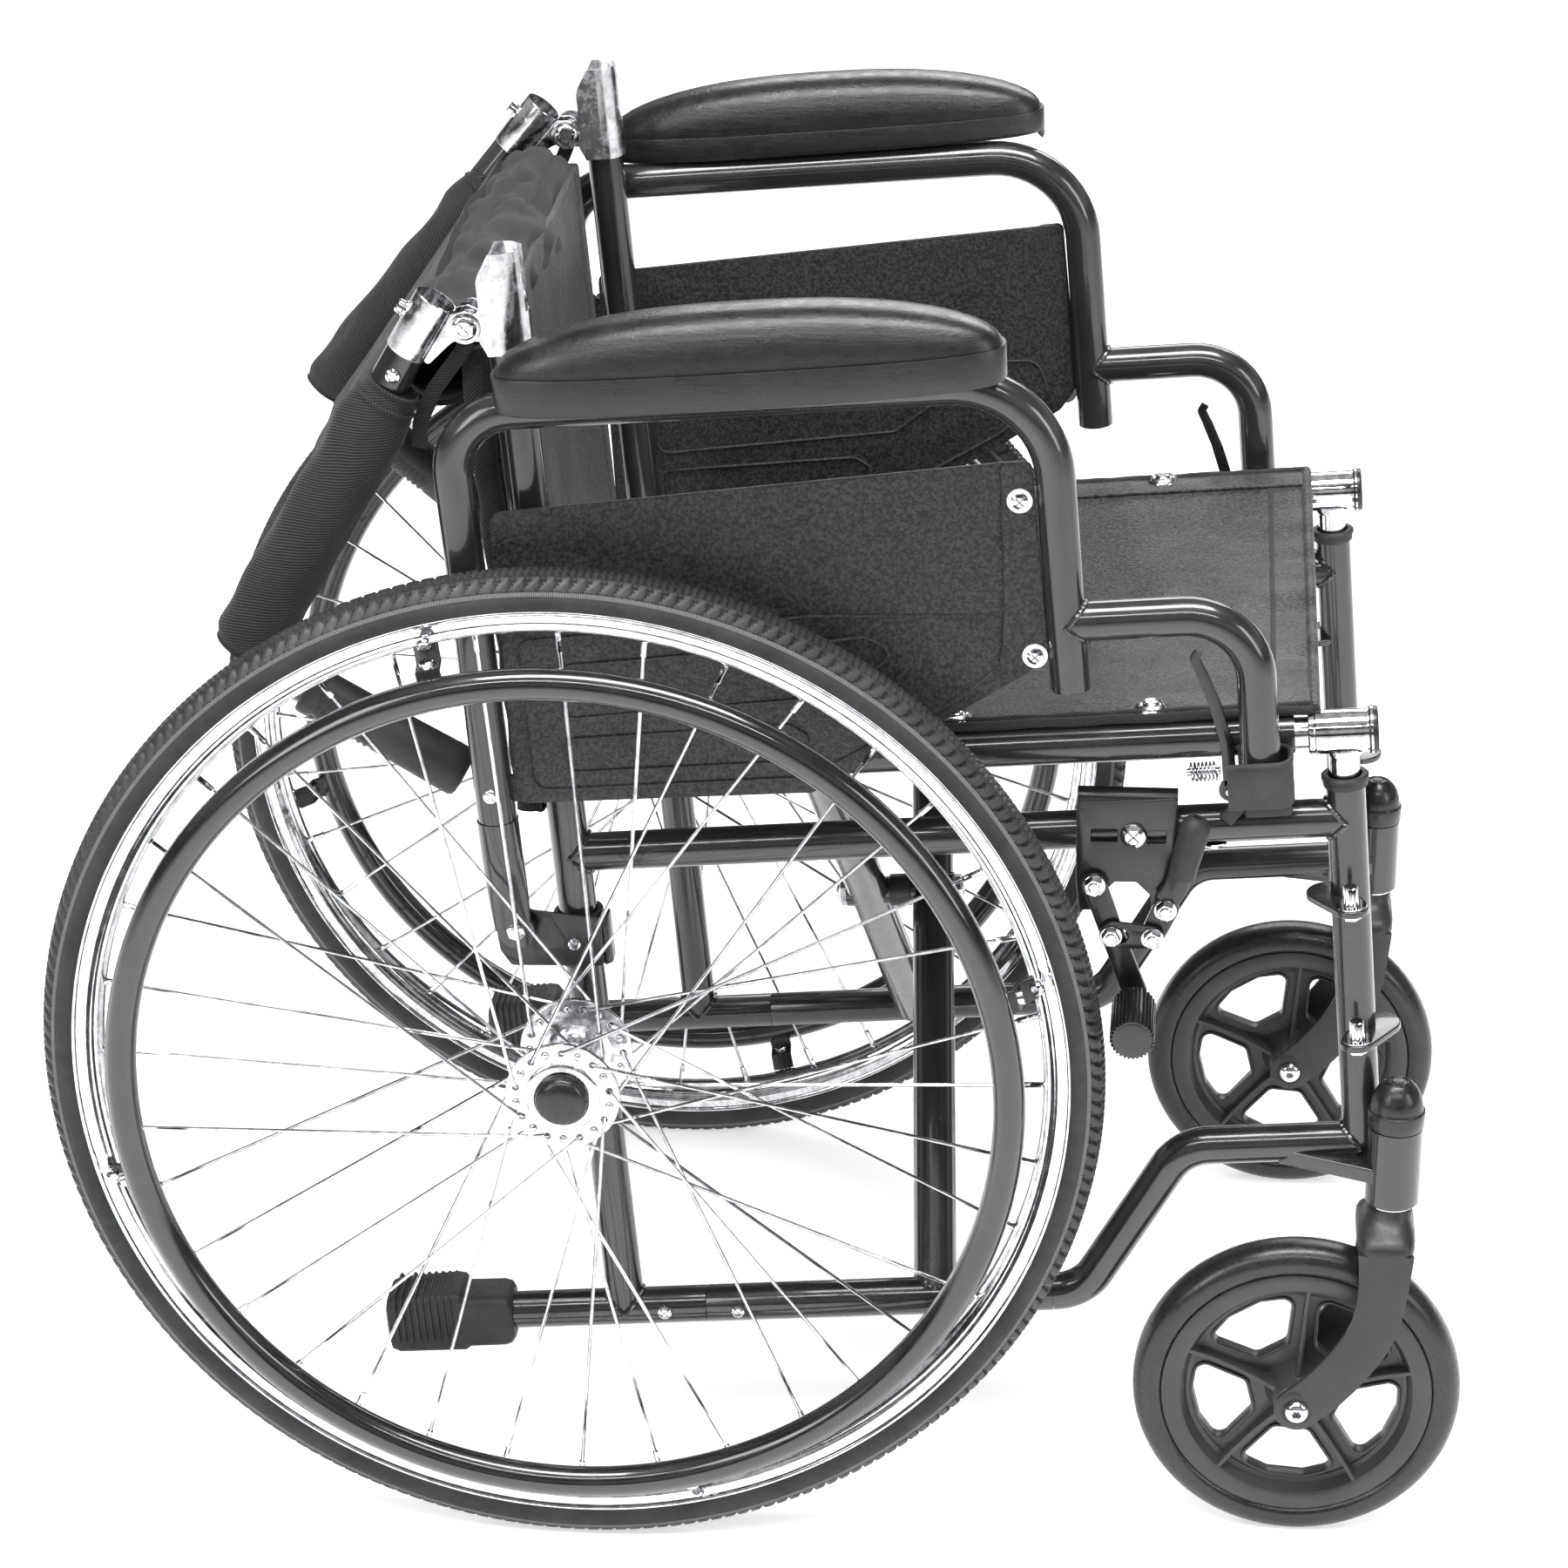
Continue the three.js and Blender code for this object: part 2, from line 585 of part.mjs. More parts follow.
function casterAxle() {
  const face = HUB_REACH + FORK_LEG + 2 * GAP;
  return join(
    acrossAt(CASTER_X, CASTER_R, -CASTER_Y - face - 5, -CASTER_Y + face + 5, 4),
    acrossAt(CASTER_X, CASTER_R, -CASTER_Y - face - 5, -CASTER_Y - face, 8, 6),
    acrossAt(CASTER_X, CASTER_R, -CASTER_Y + face, -CASTER_Y + face + 5, 8, 6),
  );
}

// ---------------------------------------------------------------- cross brace and seat
// One arm of the X: a pivot sleeve on one side's low tube and the other side's seat rail.
function crossBrace(side) {
  const railY = side === 'l' ? SIDE_Y : -SIDE_Y;
  const u = BRACE_U[side];
  const whole = join(
    rod(at(FOOT_U[0], -railY, LOW_W), at(FOOT_U[1], -railY, LOW_W), TUBE_R),
    rod(at(u, -railY, LOW_W), at(u, railY, RAIL_W), BRACE_R),
    rod(at(RAIL_U[0], railY, RAIL_W), at(RAIL_U[1], railY, RAIL_W), TUBE_R),
    rod(at(RAIL_U[1] - 5, railY, RAIL_W), at(RAIL_U[2], railY, RAIL_W), SPIGOT_R),
  );
  const sleeveBore = rod(at(FOOT_U[0] - 5, -railY, LOW_W), at(FOOT_U[1] + 5, -railY, LOW_W), FOOT_PIN_R + 0.7);
  const centreW = (LOW_W + RAIL_W) / 2;
  const boltBore = rod(at(u - 20, 0, centreW), at(u + 20, 0, centreW), BOLT_R + 0.5);
  return cut(whole, sleeveBore, boltBore);
}

function centreBolt() {
  const w = (LOW_W + RAIL_W) / 2;
  const [rear, front] = [BRACE_U.r - BRACE_R - GAP, BRACE_U.l + BRACE_R + GAP];
  return join(
    rod(at(rear - 6, 0, w), at(front + 6, 0, w), BOLT_R),
    rod(at(rear - 6, 0, w), at(rear, 0, w), 9, 6),
    rod(at(front, 0, w), at(front + 6, 0, w), 9, 6),
    rod(at(BRACE_U.r + BRACE_R + 1, 0, w), at(BRACE_U.l - BRACE_R - 1, 0, w), 10),
  );
}

// The T-fitting: a sleeve on the seat rail's end and the post that slides in the front upright.
function seatPost() {
  const y = -SIDE_Y;
  const whole = join(
    rod(at(RAIL_U[1] + 0.8, y, RAIL_W), at(RAIL_U[2] + 1, y, RAIL_W), 12.6, 16),
    rod(at(RAIL_U[2] + 0.8, y, RAIL_W), at(RAIL_U[2] + 6.5, y, RAIL_W), 13.2, 16),
    rod(at(FRONT_U, y, POST_FOOT_W), at(FRONT_U, y, RAIL_W - 10.5), POST_R),
  );
  return cut(whole, rod(at(RAIL_U[1] - 3, y, RAIL_W), at(RAIL_U[2] + 0.6, y, RAIL_W), SPIGOT_R + 0.7));
}

// ---------------------------------------------------------------- armrest
function armBracket() {
  const y = -SIDE_Y;
  const clamp = lean(planPlate(hull([[REAR_U, y, 14.6]]), 346, 379));
  const ear = hull([[...ARM_PIVOT, 11], [REAR_U - 6, 363, 15]]);
  const whole = join(
    clamp,
    lean(sidePlate(ear, -216.4, -209)),
    acrossLeaning(...ARM_PIVOT, -224.5, -214, 4, 8),
  );
  return cut(whole, rod(at(REAR_U, y, 340), at(REAR_U, y, 392), TUBE_R + 0.6));
}

function armFrame() {
  const y = -ARM_Y;
  const loop = [at(ARM_REAR_U, y, 444), at(ARM_REAR_U, y, ARM_TOP_W), at(ARM_FRONT_U, y, ARM_TOP_W), at(ARM_FRONT_U, y, 511)];
  const branch = [at(ARM_FRONT_U, y, ARM_BRANCH_W), at(ARM_LEG_U, y, ARM_BRANCH_W), at(ARM_LEG_U, y, ARM_LEG_FOOT_W)];
  const tab = hull([[...ARM_PIVOT, 10.5], [ARM_REAR_U, 450, 9]]);
  const whole = join(
    bentTube(loop, [36, 55], TUBE_R),
    bentTube(branch, [38], TUBE_R),
    lean(sidePlate(tab, -221.8, -217)),
  );
  return cut(whole, acrossLeaning(...ARM_PIVOT, -230, -210, 4.7, 8));
}

function armPad() {
  const [y0, y1] = PAD_Y;
  const middle = (y0 + y1) / 2;
  const half = (y1 - y0) / 2;
  const bevel = 13;
  const plan = hull([[PAD_U[0] + half, middle, half], [PAD_U[1] - half, middle, half]], 20);
  const inset = hull([[PAD_U[0] + half, middle, half - bevel], [PAD_U[1] - half, middle, half - bevel]], 20);
  const tray = planPlate(plan, 702, 718);
  const crown = new THREE.ExtrudeGeometry(new THREE.Shape(inset.map(([a, b]) => new THREE.Vector2(a, b))), {
    depth: 6, bevelThickness: 20, bevelSize: bevel, bevelSegments: 2,
  }).translate(0, 0, 722);
  const skirt = cut(planPlate(plan, 692, 703), block([0, 340], [y0 + 31.5, 0], [680, 710]));
  const upper = cut(crown, block([0, 340], [y0 - 5, y1 + 5], [690, 716]));
  return geometryOf(join(tray, upper, skirt)).applyMatrix4(leaning);
}

function sidePanel() {
  const outline = [
    [8.8, 458], [11, 456], [177, 456], [262, 500], [303, 524], [312.5, 534],
    [312.5, 640], [306, 646.5], [14, 631.5], [8.8, 626],
  ];
  return lean(sidePlate(outline, -ARM_Y - 1.5, -ARM_Y + 1.5));
}

// The open-backed receiver that the armrest's front leg drops into.
function armCup() {
  const [u0, u1] = [416, ARM_LEG_U + TUBE_R + 3.4];
  const [outer, inner] = [-ARM_Y - TUBE_R - 3.4, -ARM_Y + TUBE_R + 3];
  const wall = [
    [405, outer], [u1, outer], [u1, inner], [u0, inner], [u0, inner - 2.4],
    [u1 - 2.6, inner - 2.4], [u1 - 2.6, outer + 2.8], [405, outer + 2.8],
  ];
  return join(
    lean(planPlate(wall, 437.5, 466)),
    lean(block([u0, u1], [-222, -190], [425.7, 442])),
    acrossLeaning(409, 440, outer + 1, -209.2, 3, 8),
  );
}

function latchLever() {
  const [y0, y1] = [-212.6, -209.4];
  const whole = join(
    lean(sidePlate(hull([[409, 440, 6.5], [409, 466, 5.5]]), y0, y1)),
    lean(sidePlate(hull([[409, 466, 5.5], [392, 520, 5]]), y0, y1)),
  );
  return cut(whole, acrossLeaning(409, 440, y0 - 4, y1 + 4, 3.6, 8));
}

// ---------------------------------------------------------------- brake
function brakePlate() {
  const outline = [
    [283.5, 465.5], [284, 416], [287, 397], [298, 398], [300, 409], [306, 416], [318, 416],
    [326, 411], [328, 394], [341, 394], [342, 425], [339, 470.5],
  ];
  return join(
    sidePlate(outline, BRAKE_Y - 3.8, BRAKE_Y),
    acrossAt(...BRAKE_A, BRAKE_Y - 9.4, BRAKE_Y - 2, 3, 8),
    acrossAt(...BRAKE_D, BRAKE_Y - 9.4, BRAKE_Y - 2, 3, 8),
  );
}

function brakeArm() {
  const [y0, y1] = [BRAKE_Y - 8.6, BRAKE_Y - 4.4];
  const whole = join(
    sidePlate(hull([[...BRAKE_A, 7], [...BRAKE_B, 6.5]]), y0, y1),
    sidePlate(hull([[...BRAKE_B, 6.5], [...DRUM, 8]]), y0, y1),
    acrossAt(...BRAKE_B, BRAKE_Y - 14.5, BRAKE_Y - 6, 2.6, 8),
    acrossAt(...DRUM, -236, BRAKE_Y - 6, 5),
    acrossAt(...DRUM, -274, -230, DRUM_R, 16),
  );
  return cut(whole, acrossAt(...BRAKE_A, y0 - 5, y1 + 5, 3.7, 8));
}

function brakeLink() {
  const [y0, y1] = [BRAKE_Y - 13.2, BRAKE_Y - 9.6];
  const body = sidePlate(hull([[...BRAKE_B, 7.5], [...BRAKE_C, 6.5]]), y0, y1);
  const slot = hull([[...BRAKE_B, 4.6], [BRAKE_B[0] + 5, BRAKE_B[1], 4.6]]);
  return cut(body, sidePlate(slot, y0 - 5, y1 + 5), acrossAt(...BRAKE_C, y0 - 5, y1 + 5, 3.3, 8));
}

function brakeLever() {
  const [y0, y1] = [BRAKE_Y - 8.6, BRAKE_Y - 4.4];
  const neck = [343.6, 426];
  const whole = join(
    sidePlate(hull([[...BRAKE_C, 6.5], [...BRAKE_D, 7.5]]), y0, y1),
    sidePlate(hull([[...BRAKE_D, 7], [...neck, 6]]), y0, y1),
    acrossAt(...BRAKE_C, BRAKE_Y - 14.5, BRAKE_Y - 6, 2.6, 8),
    rod(V(neck[0], -222, neck[1] - 2), V(351, -222, 456), 8.5),
    rod(V(351, -222, 456), V(352.2, -222, 461), 5.5),
  );
  return cut(whole, acrossAt(...BRAKE_D, y0 - 5, y1 + 5, 3.7, 8));
}

// ---------------------------------------------------------------- soft parts
const seatSling = () => lean(block(SEAT_U, [-SIDE_Y, SIDE_Y], [SEAT_W, SEAT_W + CLOTH]));

// The lower sheet hangs behind the uprights, and the slack cloth over the hinge lies rolled behind it.
function lowerBackSling() {
  const sheet = lean(block([LOWER_SHEET_U, LOWER_SHEET_U + CLOTH], [-BACK_HALF, BACK_HALF], [440, ROLL_W + 10]));
  return join(sheet, rod(at(ROLL_U, -BACK_HALF, ROLL_W), at(ROLL_U, BACK_HALF, ROLL_W), ROLL_R, 16));
}

// The raised sheet moves with the right-hand cane, so its fold is nearer to that one's.
function upperBackSling() {
  const sheet = block([REAR_U - CLOTH / 2, REAR_U + CLOTH / 2], [-BACK_HALF, BACK_HALF], UPPER_SHEET_W);
  return foldedBack(sheet, BACK_FOLD.r * 0.75 + BACK_FOLD.l * 0.25);
}

// ---------------------------------------------------------------- assembly
pair('side_frame', sideFrame(), STEEL);
pair('tipping_foot', tipFoot(), RUBBER);
pair('caster_stem_cap', stemCap(), PLASTIC);
pair('lower_hinge_sleeve', lowerHingeSleeve(), CHROME);
pair('back_hinge_bolt', hingeBolt(), CHROME);
pair('upper_hinge_sleeve', upperHingeSleeve, CHROME);
pair('upper_back_cane', upperCane, STEEL);
pair('push_grip', pushGrip, RUBBER);
pair('rear_wheel', wheelBody(), CHROME);
pair('rear_tyre', rearTyre(), RUBBER);
pair('handrim', handrim(), STEEL);
pair('rear_axle', axle(), CHROME);
pair('caster_fork', casterFork(), PLASTIC);
pair('caster_wheel', casterWheel(), PLASTIC);
pair('caster_tyre', casterTyre(), RUBBER);
pair('caster_axle', casterAxle(), CHROME);
for (const side of ['r', 'l']) place(`cross_brace_${side}`, geometryOf(crossBrace(side)), STEEL);
place('cross_brace_bolt', geometryOf(centreBolt()), CHROME);
pair('seat_post', seatPost(), CHROME);
pair('arm_bracket', armBracket(), PLASTIC);
pair('arm_frame', armFrame(), STEEL);
pair('arm_pad', armPad(), VINYL);
pair('side_panel', sidePanel(), PLASTIC);
pair('arm_cup', armCup(), PLASTIC);
pair('arm_latch_lever', latchLever(), PLASTIC);
pair('brake_plate', brakePlate(), STEEL);
pair('brake_arm', brakeArm(), STEEL);
pair('brake_link', brakeLink(), STEEL);
pair('brake_lever', brakeLever(), STEEL);
place('seat_sling', geometryOf(seatSling()), CLOTH_LOOK);
place('back_sling_lower', geometryOf(lowerBackSling()), CLOTH_LOOK);
place('back_sling_upper', geometryOf(upperBackSling()), CLOTH_LOOK);

export default chair;
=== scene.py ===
import bmesh
import bpy
from math import copysign, cos, exp, pi, radians, sin, sqrt, tan
from mathutils import Matrix, Vector, noise


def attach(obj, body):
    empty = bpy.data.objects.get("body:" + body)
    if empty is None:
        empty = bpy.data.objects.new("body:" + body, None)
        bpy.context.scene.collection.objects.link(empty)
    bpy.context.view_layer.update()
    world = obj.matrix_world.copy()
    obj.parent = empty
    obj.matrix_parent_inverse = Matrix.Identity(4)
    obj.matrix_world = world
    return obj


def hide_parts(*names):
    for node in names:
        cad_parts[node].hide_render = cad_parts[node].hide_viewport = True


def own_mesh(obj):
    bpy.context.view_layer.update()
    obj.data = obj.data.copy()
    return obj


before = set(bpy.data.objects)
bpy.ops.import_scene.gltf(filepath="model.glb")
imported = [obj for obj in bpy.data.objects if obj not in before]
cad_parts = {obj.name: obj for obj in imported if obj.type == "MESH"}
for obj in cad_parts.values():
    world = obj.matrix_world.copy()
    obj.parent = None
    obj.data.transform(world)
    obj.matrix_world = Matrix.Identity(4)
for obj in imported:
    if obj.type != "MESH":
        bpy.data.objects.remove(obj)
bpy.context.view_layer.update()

# Lengths below are in millimetres, in the chair's own axes: +X forward from the rear axle, +Z up.
# U runs along the rails and W up the uprights, both turned by PITCH; the sitter's right side has Y below 0.
MM = 0.001
ORIGIN_X = 105.75
PITCH = radians(5)
SIDE_Y = 197
TUBE_R = 11.1
REAR_U, FRONT_U = 31.5, 472.6
LOW_W, MID_W, KNEE_W, RAIL_W = 116, 414, 209.5, 466.3
HINGE_U, HINGE_W = 10.5, 733
HINGE_SHEET = (12.3, 13.4)
WORD = {"r": "right", "l": "left", "m": "middle"}
BACK_FOLD = {"r": radians(145), "l": radians(136.5)}
CORNER_W = 971.7
WHEEL_R, WHEEL_Y, SPOKES = 305, 253.5, 36
HANDRIM_R, HANDRIM_Y = 252, 289.5
CASTER_X, CASTER_Y, CASTER_R = 420.5, 216, 96
HUB_REACH, FORK_LEG = 26.5, (27, 31.5)
HEAD_X, HEAD_Z = 470.5, (222, 270)
ARM_Y, ARM_REAR_U, ARM_FRONT_U, ARM_STUB_U = 223.9, -3, 325, 427
ARM_TOP_W, ARM_BRANCH_W = 690, 550
ARM_PIVOT = (-1.1, 377.5)
BRAKE_Y = -208.6
BRAKE_A, BRAKE_B = (294.6, 415.3), (305, 386.2)
BRAKE_C, BRAKE_D = (328.3, 385.5), (335.1, 401.3)
DRUM = (319, 347)
ACROSS = Vector((0, 1, 0))
OUT = Vector((0, -1, 0))
UP = Vector((0, 0, 1))
FORWARD = Vector((1, 0, 0))


def at(u, y, w):
    """A point given along the leaning rails (u) and uprights (w) of a side frame."""
    c, s = cos(PITCH), sin(PITCH)
    return Vector((u * c - w * s, y, u * s + w * c))


LEAN_U = at(1, 0, 0)
LEAN_W = at(0, 0, 1)


def hung(fold):
    """Places points of the raised backrest where they hang, turned back about the hinge by fold."""
    c, s = cos(-fold), sin(-fold)

    def place(u, y, w):
        a, b = u - HINGE_U, w - HINGE_W
        return at(HINGE_U + a * c + b * s, y, HINGE_W - a * s + b * c)

    return place


def flat(x, y, z):
    return Vector((x, y, z))


# ------------------------------------------------------------------ materials
WAVE_UNIT = 0.314159  # a wave texture at this scale has one stripe in each unit of length


class Look:
    """A procedural material. Its coordinates are the object's own, in metres."""

    def __init__(self, name, colour, roughness, metallic=0.0, **sockets):
        self.made = bpy.data.materials.new(name)
        self.made.use_nodes = True
        self.tree = self.made.node_tree
        self.shader = self.tree.nodes["Principled BSDF"]
        self.shader.inputs["Base Color"].default_value = (*colour, 1)
        self.shader.inputs["Roughness"].default_value = roughness
        self.shader.inputs["Metallic"].default_value = metallic
        for socket, value in sockets.items():
            self.shader.inputs[socket.replace("_", " ")].default_value = value
        self.place = self.node("ShaderNodeTexCoord").outputs["Object"]
        self.height = None

    def node(self, kind, **settings):
        made = self.tree.nodes.new(kind)
        for key, value in settings.items():
            setattr(made, key, value)
        return made

    def feed(self, source, socket):
        self.tree.links.new(source, socket)

    def weave_place(self):
        self.place = self.node("ShaderNodeUVMap", uv_map="weave").outputs["UV"]

    def mapped(self, way, amount):
        made = self.node("ShaderNodeMapping")
        made.inputs[way].default_value = amount
        self.feed(self.place, made.inputs["Vector"])
        return made.outputs["Vector"]

    def noise(self, scale, detail=3.0, stretch=None, rough=0.55):
        made = self.node("ShaderNodeTexNoise")
        made.inputs["Scale"].default_value = scale
        made.inputs["Detail"].default_value = detail
        made.inputs["Roughness"].default_value = rough
        self.feed(self.mapped("Scale", stretch) if stretch else self.place, made.inputs["Vector"])
        return made.outputs["Fac"]

    def cells(self, scale):
        made = self.node("ShaderNodeTexVoronoi", feature="F1")
        made.inputs["Scale"].default_value = scale
        self.feed(self.place, made.inputs["Vector"])
        return made.outputs["Distance"]

    def bands(self, scale, turn=0.0):
        """Even stripes, scale of them in each metre."""
        place = self.mapped("Rotation", (0, 0, turn))
        made = self.node("ShaderNodeTexWave", wave_type="BANDS", bands_direction="X")
        made.inputs["Scale"].default_value = scale * WAVE_UNIT
        self.feed(place, made.inputs["Vector"])
        return made.outputs["Fac"]

    def span(self, source, low, high, start=0.0, end=1.0):
        made = self.node("ShaderNodeMapRange")
        for key, value in (("From Min", start), ("From Max", end), ("To Min", low), ("To Max", high)):
            made.inputs[key].default_value = value
        self.feed(source, made.inputs["Value"])
        return made.outputs["Result"]

    def maths(self, operation, a, b):
        made = self.node("ShaderNodeMath", operation=operation)
        for value, socket in ((a, made.inputs[0]), (b, made.inputs[1])):
            if isinstance(value, (int, float)):
                socket.default_value = value
            else:
                self.feed(value, socket)
        return made.outputs[0]

    def tint(self, source, low, high, start=0.3, end=0.7):
        """The base colour runs from low to high as source goes from start to end."""
        made = self.node("ShaderNodeValToRGB")
        made.color_ramp.elements[0].position = start
        made.color_ramp.elements[1].position = end
        made.color_ramp.elements[0].color = (*low, 1)
        made.color_ramp.elements[1].color = (*high, 1)
        self.feed(source, made.inputs["Fac"])
        self.feed(made.outputs["Color"], self.shader.inputs["Base Color"])

    def rough(self, source, low, high, start=0.3, end=0.7):
        self.feed(self.span(source, low, high, start, end), self.shader.inputs["Roughness"])

    def mottle(self, shade, tint, roughness, rough):
        """Uneven colour and gloss; each pair is a noise's scale and detail, then low and high."""
        scale, detail, low, high = tint
        self.tint(self.noise(scale, detail), grey(shade * low), grey(shade * high))
        scale, detail, low, high = rough
        self.rough(self.noise(scale, detail), roughness - low, roughness + high)

    def bump(self, source, depth, strength=1.0):
        """Depth is in millimetres."""
        made = self.node("ShaderNodeBump")
        made.inputs["Strength"].default_value = strength
        made.inputs["Distance"].default_value = depth * MM
        self.feed(source, made.inputs["Height"])
        if self.height is not None:
            self.feed(self.height, made.inputs["Normal"])
        self.height = made.outputs["Normal"]
        self.feed(self.height, self.shader.inputs["Normal"])


def grey(value):
    return (value, value, value * 1.03)


def paint(name, shade=0.018, roughness=0.2, coat=0.6):
    """Gloss powder coat: faint orange peel, uneven sheen and a few dull patches."""
    look = Look(name, grey(shade), roughness, Coat_Weight=coat, Coat_Roughness=0.06)
    look.mottle(shade, (14, 3, 0.75, 1.3), roughness, (60, 5, 0.06, 0.1))
    look.bump(look.noise(900, 2), 0.04, 0.3)
    look.bump(look.noise(160, 2), 0.05, 0.22)
    return look.made


def chrome(name, roughness=0.1, wear=0.25, shade=0.82):
    """Bright plate with rubbed, slightly clouded patches and fine scratches."""
    look = Look(name, grey(shade), roughness, 1.0)
    cloud = look.noise(110, 6, rough=0.7)
    look.tint(cloud, grey(shade * 0.6), grey(shade), 0.38, 0.56)
    look.rough(cloud, roughness, roughness + wear, 0.48, 0.72)
    look.bump(look.noise(700, 3, (1, 6, 1)), 0.03, 0.25)
    return look.made


def rubber(name, shade=0.03, roughness=0.72, grain=0.06):
    look = Look(name, grey(shade), roughness, Specular_IOR_Level=0.4)
    look.mottle(shade, (40, 5, 0.7, 1.45), roughness, (220, 4, 0.1, 0.1))
    look.bump(look.noise(1400, 3), grain, 0.6)
    return look.made


def moulded(name, shade=0.022, roughness=0.42, grain=0.07, scale=1300):
    """Moulded plastic with a spark-eroded grain."""
    look = Look(name, grey(shade), roughness)
    look.mottle(shade, (25, 4, 0.8, 1.3), roughness, (300, 3, 0.06, 0.1))
    look.bump(look.noise(scale, 2), grain, 0.6)
    return look.made


def woven(name, shade=0.022, pitch=1.5, sheen=0.12):
    """Twill: slanting ribs crossed by finer threads, on coordinates laid out on the cloth."""
    look = Look(name, grey(shade), 0.82, Sheen_Weight=sheen, Sheen_Roughness=0.4, Specular_IOR_Level=0.3)
    look.weave_place()
    ribs = look.bands(1000 / pitch, radians(52))
    threads = look.bands(1000 / pitch * 1.6, radians(-30))
    weave = look.maths("MULTIPLY", ribs, look.span(threads, 0.45, 1.0))
    # The colour follows the weave: a painted highlight on the ribs and painted shade in the gaps between
    # threads, on top of the bump.
    look.tint(weave, grey(shade * 0.25), grey(shade * 2.2), 0.15, 0.75)
    look.bump(weave, 0.4, 0.9)
    look.bump(look.noise(28, 4), 1.6, 0.5)
    return look.made


def coated(name, shade=0.03, roughness=0.55):
    """Coated upholstery cloth with a tight pebble."""
    look = Look(name, grey(shade), roughness, Sheen_Weight=0.08, Specular_IOR_Level=0.35)
    look.tint(look.noise(500, 3), grey(shade * 0.3), grey(shade * 1.9), 0.38, 0.64)
    look.rough(look.noise(30, 3), roughness - 0.08, roughness + 0.1)
    look.bump(look.cells(520), 0.3, 0.9)
    look.bump(look.noise(35, 3), 1.4, 0.45)
    return look.made


def vinyl(name, shade=0.01, roughness=0.28):
    """Stretched vinyl with a leather grain and creases that run along it."""
    look = Look(name, grey(shade), roughness, Coat_Weight=0.12, Coat_Roughness=0.2, Specular_IOR_Level=0.4)
    look.mottle(shade, (30, 4, 0.8, 1.3), roughness, (120, 4, 0.05, 0.14))
    look.bump(look.cells(420), 0.12, 0.7)
    look.bump(look.noise(40, 6, (0.6, 1.0, 5.0), 0.75), 0.8, 0.6)
    return look.made


def knurled_band(name):
    """The fine radial ribs on a tyre's shoulder, which catch the light."""
    look = Look(name, grey(0.09), 0.6)
    look.weave_place()
    ribs = look.bands(900)
    # Painted highlight on the ribs and painted shade between them, following the same stripes as the bump.
    look.tint(ribs, grey(0.05), grey(0.16), 0.2, 0.8)
    look.bump(ribs, 0.2, 0.8)
    return look.made


PAINT = paint("powder_coat")
HANDRIM_PAINT = paint("handrim_gloss", 0.01, 0.18, 0.8)
BRAKE_PAINT = paint("brake_black", 0.006, 0.3, 0.3)
CHROME = chrome("bright_chrome", 0.06, 0.12)
ZINC = chrome("worn_plate", 0.16, 0.3, 0.78)
SPOKE_STEEL = chrome("spoke_steel", 0.14, 0.1, 0.7)
TYRE = rubber("tyre_rubber", 0.026, 0.66)
TREAD = rubber("tread_rubber", 0.034, 0.5, 0.1)
BAND = knurled_band("tyre_shoulder")
GRIP = rubber("grip_rubber", 0.024, 0.55)
PLASTIC = moulded("black_plastic", 0.02, 0.4)
GLOSS_PLASTIC = moulded("cap_plastic", 0.012, 0.26, 0.02)
CASTER_PLASTIC = moulded("caster_plastic", 0.03, 0.36, 0.05)
CASTER_RUBBER = moulded("caster_tyre", 0.012, 0.28, 0.01)
PANEL = coated("panel_plastic", 0.018, 0.5)
CLOTH = woven("black_twill")
COATED = coated("black_coated_cloth")
PIPING = woven("piping", 0.03, 1.4, 0.1)
VINYL = vinyl("black_vinyl")
VINYL_BAND = vinyl("black_vinyl_band", 0.014, 0.3)


# ------------------------------------------------------------------ shapes
class Part:
    """Collects swept, turned and cut shapes, in millimetres, as one mesh."""

    def __init__(self):
        self.bm = bmesh.new()
        self.weave = self.bm.loops.layers.uv.new("weave")
        self.looks = []

    def index(self, look):
        if look not in self.looks:
            self.looks.append(look)
        return self.looks.index(look)

    def skin(self, rings, look, closed=False):
        """Faces between neighbouring rings of points; the weave runs round and along them."""
        look = self.index(look)
        made = [[self.bm.verts.new(p) for p in ring] for ring in rings]
        count = len(rings[0])
        around = [0.0]
        for i in range(count):
            around.append(around[-1] + (rings[0][(i + 1) % count] - rings[0][i]).length)
        along = [0.0]
        for i in range(len(rings)):
            along.append(along[-1] + (rings[(i + 1) % len(rings)][0] - rings[i][0]).length)
        for i in range(len(rings) - (0 if closed else 1)):
            a, b = made[i], made[(i + 1) % len(rings)]
            for k in range(count):
                n = (k + 1) % count
                face = self.bm.faces.new((a[k], a[n], b[n], b[k]))
                face.material_index = look
                places = ((k, i), (k + 1, i), (k + 1, i + 1), (k, i + 1))
                for loop, (x, y) in zip(face.loops, places):
                    loop[self.weave].uv = (around[x] * MM, along[y] * MM)
        if not closed:
            for ring in (made[0], made[-1]):
                self.bm.faces.new(ring).material_index = look


def arc(centre, start, end, steps):
    """Points on the arc between two arms that reach out from a centre."""
    whole = start.angle(end)
    turns = [whole * k / steps for k in range(steps + 1)]
    return [centre + (start * sin(whole - t) + end * sin(t)) / sin(whole) for t in turns]


def rounded(points, radius, steps=8):
    """The corners of a path turned into arcs; radius is one number or one for each corner."""
    radii = radius if isinstance(radius, (list, tuple)) else [radius] * (len(points) - 2)
    path = [points[0]]
    for i in range(1, len(points) - 1):
        back = (points[i - 1] - points[i]).normalized()
        on = (points[i + 1] - points[i]).normalized()
        half = back.angle(on) / 2
        centre = points[i] + (back + on).normalized() * radii[i - 1] / sin(half)
        start = points[i] + back * radii[i - 1] / tan(half) - centre
        end = points[i] + on * radii[i - 1] / tan(half) - centre
        path += arc(centre, start, end, steps)
    return path + [points[-1]]


